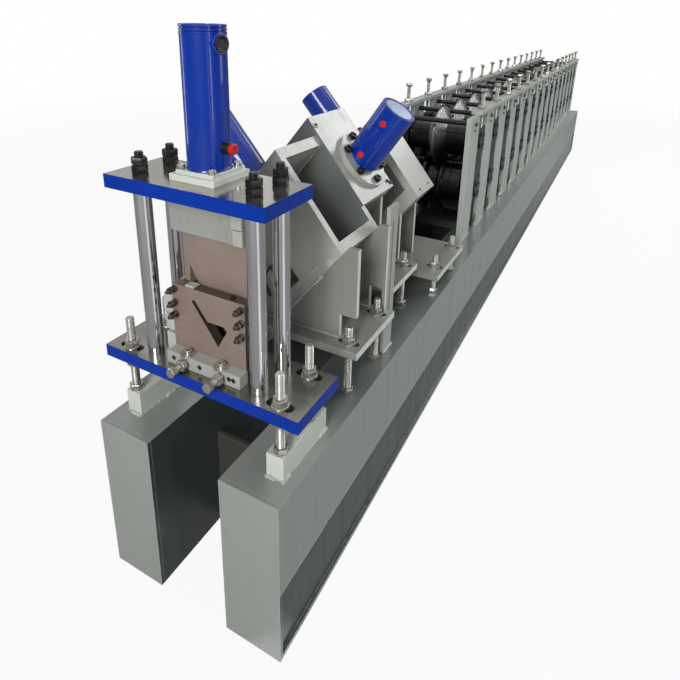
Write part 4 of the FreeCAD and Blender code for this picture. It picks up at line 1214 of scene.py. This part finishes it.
# %% Where the seams run
beads = []
for x0, x1 in ((-0.2295, -0.1865), (0.1865, 0.2295)):
    for y in (0.062, 0.247):
        beads += seam(at(x0, y, BEAM_TOP), at(x1, y, BEAM_TOP))
    for x in (x0, x1):
        beads += seam(at(x, 0.062, BEAM_TOP), at(x, 0.247, BEAM_TOP))
beads += seam(slope_place(0.155, -0.120, 0.421), slope_place(0.155, -0.120, 0.599))
beads += seam(slope_place(0.155, -0.134, 0.4075), slope_place(0.155, 0.020, 0.4075))
for y in (0.421, 0.599):
    beads += seam(slope_place(0.125, -0.100, y), slope_place(0.125, 0.130, y))
    beads += seam(slope_place(-0.125, -0.100, y), slope_place(-0.125, 0.130, y))
for y in (0.621, 0.794):
    beads += seam(slope_place(-0.150, 0.114, y), slope_place(0.080, 0.114, y))
for side in (-1, 1):
    beads += seam(at(side * 0.213, 0.602, BEAM_TOP), at(side * 0.213, 0.662, BEAM_TOP))
    beads += seam(at(side * 0.223, 0.602, BEAM_TOP), at(side * 0.223, 0.662, BEAM_TOP))
for y in (0.4025, 0.4175, 0.587, 0.602):
    beads += seam(at(-0.176, y, 0.600), at(0.176, y, 0.600))
for i in range(BAYS + 1):
    y = FIRST_COLUMN + PITCH * i
    for side in (-1, 1):
        outer = at(side * COLUMN_OUT, y, BEAM_TOP)
        beads += seam(at(side * COLUMN_IN, y, BEAM_TOP), outer)
        if i < 6:
            beads += seam(outer, at(side * COLUMN_OUT, y + COLUMN, BEAM_TOP))
copies("weld_beads", bead, beads, "up", press_paint, seed=12)
print("weld domes:", len(beads))

# %% [markdown]
# Short heavy tacks were laid by hand at some corners. They are bigger domes, in the pale paint.

# %% Heavy tacks
bm = bmesh.new()
lathe(bm, [(-0.0062, 0), (-0.003, 0.0058), (0.003, 0.0060), (0.0062, 0)], (0, 0, 0), (0, 0, 1), 8)
blob = pattern("weld_blob", bm, column_paint)
lines = [((-0.190, 0.060), (-0.213, 0.060)), ((-0.186, 0.150), (-0.186, 0.172)),
         ((0.2295, 0.062), (0.2295, 0.084)), ((0.2295, 0.215), (0.2295, 0.247)),
         ((0.190, 0.060), (0.206, 0.060)), ((-0.2295, 0.070), (-0.2295, 0.100))]
lumps = []
LUMP_STEP = 0.0055
for (x0, y0), (x1, y1) in lines:
    count = int(max(abs(x1 - x0), abs(y1 - y0)) / LUMP_STEP)
    lumps += [at(x0 + (x1 - x0) * i / count, y0 + (y1 - y0) * i / count, BEAM_TOP + 0.0012 * sin(i * 2.1))
              for i in range(count + 1)]
for side in (-1, 1):
    lumps += [at(side * (0.2235 + 0.001 * sin(i)), 0.604 + 0.006 * i, BEAM_TOP + 0.001) for i in range(10)]
for first, count in ((0.04, 7), (-0.06, 9)):
    lumps += [slope_place(0.1575, first - LUMP_STEP * i, 0.4065) for i in range(count)]
copies("weld_lumps", blob, lumps, "up", column_paint, seed=13)
print("weld lumps:", len(lumps))

# %% [markdown]
# ## Floor, light and camera
# The floor is a plain pale sheet. To the camera it is nearly white close by and quite white far off,
# so that no horizon shows, but near the machine it still takes a soft shadow. A gleaming piece that
# mirrors the floor sees it darker, a painted reflection, with one bright wedge, also a painted
# reflection, that leaves a bright stripe on the posts.

# %% Floor
floor_mesh = bpy.data.meshes.new("floor")
REACH = 40.0
floor_mesh.from_pydata([(-REACH, -REACH, 0), (REACH, -REACH, 0), (REACH, REACH, 0), (-REACH, REACH, 0)],
                       [], [(0, 1, 2, 3)])
floor = bpy.data.objects.new("floor", floor_mesh)
bpy.context.scene.collection.objects.link(floor)
material = bpy.data.materials.new("pale_floor")
material.use_nodes = True
tree = material.node_tree
tree.nodes.clear()
start = Wire(tree, None)
rays = tree.nodes.new("ShaderNodeLightPath")
seen = Wire(tree, rays.outputs["Is Camera Ray"])
mirrored = Wire(tree, rays.outputs["Is Glossy Ray"])
place = start.node("ShaderNodeTexCoord", None, None, "Object")
away = place.node("ShaderNodeVectorMath", {"operation": "LENGTH"}, {0: place}, "Value")
far_off = place.node("ShaderNodeMapRange", {"clamp": True}, {"Value": away, "From Min": 3.0, "From Max": 9.0})
# to a mirror the floor is darker: a painted reflection
pale = mirrored.colour((0.62, 0.62, 0.62, 1.0), (0.30, 0.30, 0.30, 1.0))
lit = start.node("ShaderNodeBsdfDiffuse", None, {"Color": pale})
glow = start.node("ShaderNodeEmission", None, {"Color": (1.0, 1.0, 1.0, 1.0), "Strength": 1.0})
aim = place.maths("ARCTAN2", place.part(1) + 2.85, place.part(0))
# painted reflection: a bright wedge that leaves a stripe on the posts
bright_wedge = aim.above(-0.66, 0.05) * (1.0 - aim.above(-0.22, 0.12))
share = seen * (far_off * 0.08 + 0.92) + mirrored * (bright_wedge * 0.85 + 0.10)
both = start.node("ShaderNodeMixShader", None, {0: share, 1: lit, 2: glow})
sheet = tree.nodes.new("ShaderNodeOutputMaterial")
tree.links.new(both.socket, sheet.inputs["Surface"])
floor_mesh.materials.append(material)
print("floor reach:", REACH)

# %% [markdown]
# The hall around has bright windows and darker walls in between, which the polished steel mirrors as
# bands. A colour ramp round the compass holds them: each stop is a share of the turn and a level.
# The camera itself sees plain white.

# %% World
WALLS = [(0.00, 1.00), (0.03, 0.35), (0.05, 0.24), (0.12, 0.16), (0.18, 0.40), (0.28, 0.30), (0.33, 0.40),
         (0.38, 1.00), (0.45, 1.00), (0.49, 0.22), (0.60, 0.12), (0.72, 0.18), (0.79, 0.50), (0.845, 0.56),
         (0.847, 1.00), (0.853, 1.00), (0.855, 0.56), (0.905, 0.70), (0.925, 0.35), (0.955, 1.00),
         (1.00, 1.00)]
world = bpy.data.worlds.new("bright_hall")
bpy.context.scene.world = world
world.use_nodes = True
tree = world.node_tree
tree.nodes.clear()
start = Wire(tree, None)
rays = tree.nodes.new("ShaderNodeLightPath")
seen = Wire(tree, rays.outputs["Is Camera Ray"])
mirrored = Wire(tree, rays.outputs["Is Glossy Ray"]) + Wire(tree, rays.outputs["Is Transmission Ray"])
way = start.node("ShaderNodeTexCoord", None, None, "Generated")
turn = start.maths("ARCTAN2", way.part(1), way.part(0)) * (0.5 / pi) + 0.5
stops = [(place, (level, level, level, 1.0)) for place, level in WALLS]
walls = turn.node("ShaderNodeValToRGB", {"stops": stops}, {"Fac": turn}).part(0)
ceiling = way.part(2).above(0.55, 0.15)
hall = ceiling * (0.9 - walls) + walls
strength = seen + mirrored * hall + (1.0 - seen - mirrored) * 0.12
sky = start.node("ShaderNodeBackground", None, {"Color": (1.0, 1.0, 1.0, 1.0), "Strength": strength})
out = tree.nodes.new("ShaderNodeOutputWorld")
tree.links.new(sky.socket, out.inputs["Surface"])
print("wall bands:", len(WALLS))

# %% [markdown]
# Large soft lamps keep the shadows gentle. The key lamp stands in front, and two narrow strips draw a
# line down the chromed posts. Each row gives a lamp's place, its target, its two sides in metres, its
# power in watts and its tint.

# %% Lights
def soft_light(name, place, target, size, power, tint=(1.0, 1.0, 1.0)):
    lamp = bpy.data.lights.new(name, "AREA")
    lamp.color = tint
    lamp.shape = "RECTANGLE"
    lamp.size, lamp.size_y = size
    lamp.energy = power
    made = bpy.data.objects.new(name, lamp)
    made.location = place
    made.rotation_euler = (Vector(target) - Vector(place)).to_track_quat("-Z", "Y").to_euler()
    made.visible_camera = False
    bpy.context.scene.collection.objects.link(made)


LIGHTS = [
    ("key_light", (1.1, -8.2, 3.3), (0, -2.2, 0.8), (1.8, 2.6), 350, (1.0, 0.98, 0.95)),
    ("top_light", (-0.6, 0.0, 5.5), (0, 0, 0.5), (3.0, 8.0), 75),
    ("side_light", (6.0, 2.5, 3.0), (0, 0.0, 0.4), (2.5, 6.0), 140, (0.93, 0.98, 1.0)),
    ("window_light", (2.3, 3.4, 3.8), (0, -2.3, 1.0), (3.0, 2.2), 125),
    ("strip_light", (3.8, -4.2, 1.6), (0, -2.8, 1.1), (0.15, 2.5), 12),
    ("left_strip", (-4.0, -3.2, 1.2), (0, -2.85, 1.1), (0.4, 2.6), 16),
]
for row in LIGHTS:
    soft_light(*row)
print("lights:", len(LIGHTS))

# %% [markdown]
# The camera stands at eye height, to the right of the front end, and looks along the machine. Its
# lens and lean were worked out from edges whose real directions are known.

# %% Camera
YAW, PITCH_DOWN, ROLL = radians(27.78), radians(18.37), radians(-1.38)
forward = Vector((-sin(YAW) * cos(PITCH_DOWN), cos(YAW) * cos(PITCH_DOWN), -sin(PITCH_DOWN)))
right = Vector((cos(YAW), sin(YAW), 0))
down = forward.cross(right)
right, down = cos(ROLL) * right + sin(ROLL) * down, cos(ROLL) * down - sin(ROLL) * right
lens = bpy.data.cameras.new("photo_camera")
lens.sensor_width = 36.0
lens.lens = 28.84
lens.shift_x = 0.005
lens.shift_y = -0.210
lens.clip_end = 200.0
camera = bpy.data.objects.new("photo_camera", lens)
turn = Matrix((right, -down, -forward)).transposed().to_4x4()
camera.matrix_world = Matrix.Translation(at(0.740, -0.695, 1.394)) @ turn
bpy.context.scene.collection.objects.link(camera)
bpy.context.scene.camera = camera
bpy.context.scene.view_settings.view_transform = "Standard"
print("lens: %.2f mm" % lens.lens)

# %% [markdown]
# The patterns were only copied from, so they go.

# %% Tidy away the patterns
for made in patterns:
    bpy.data.objects.remove(made)
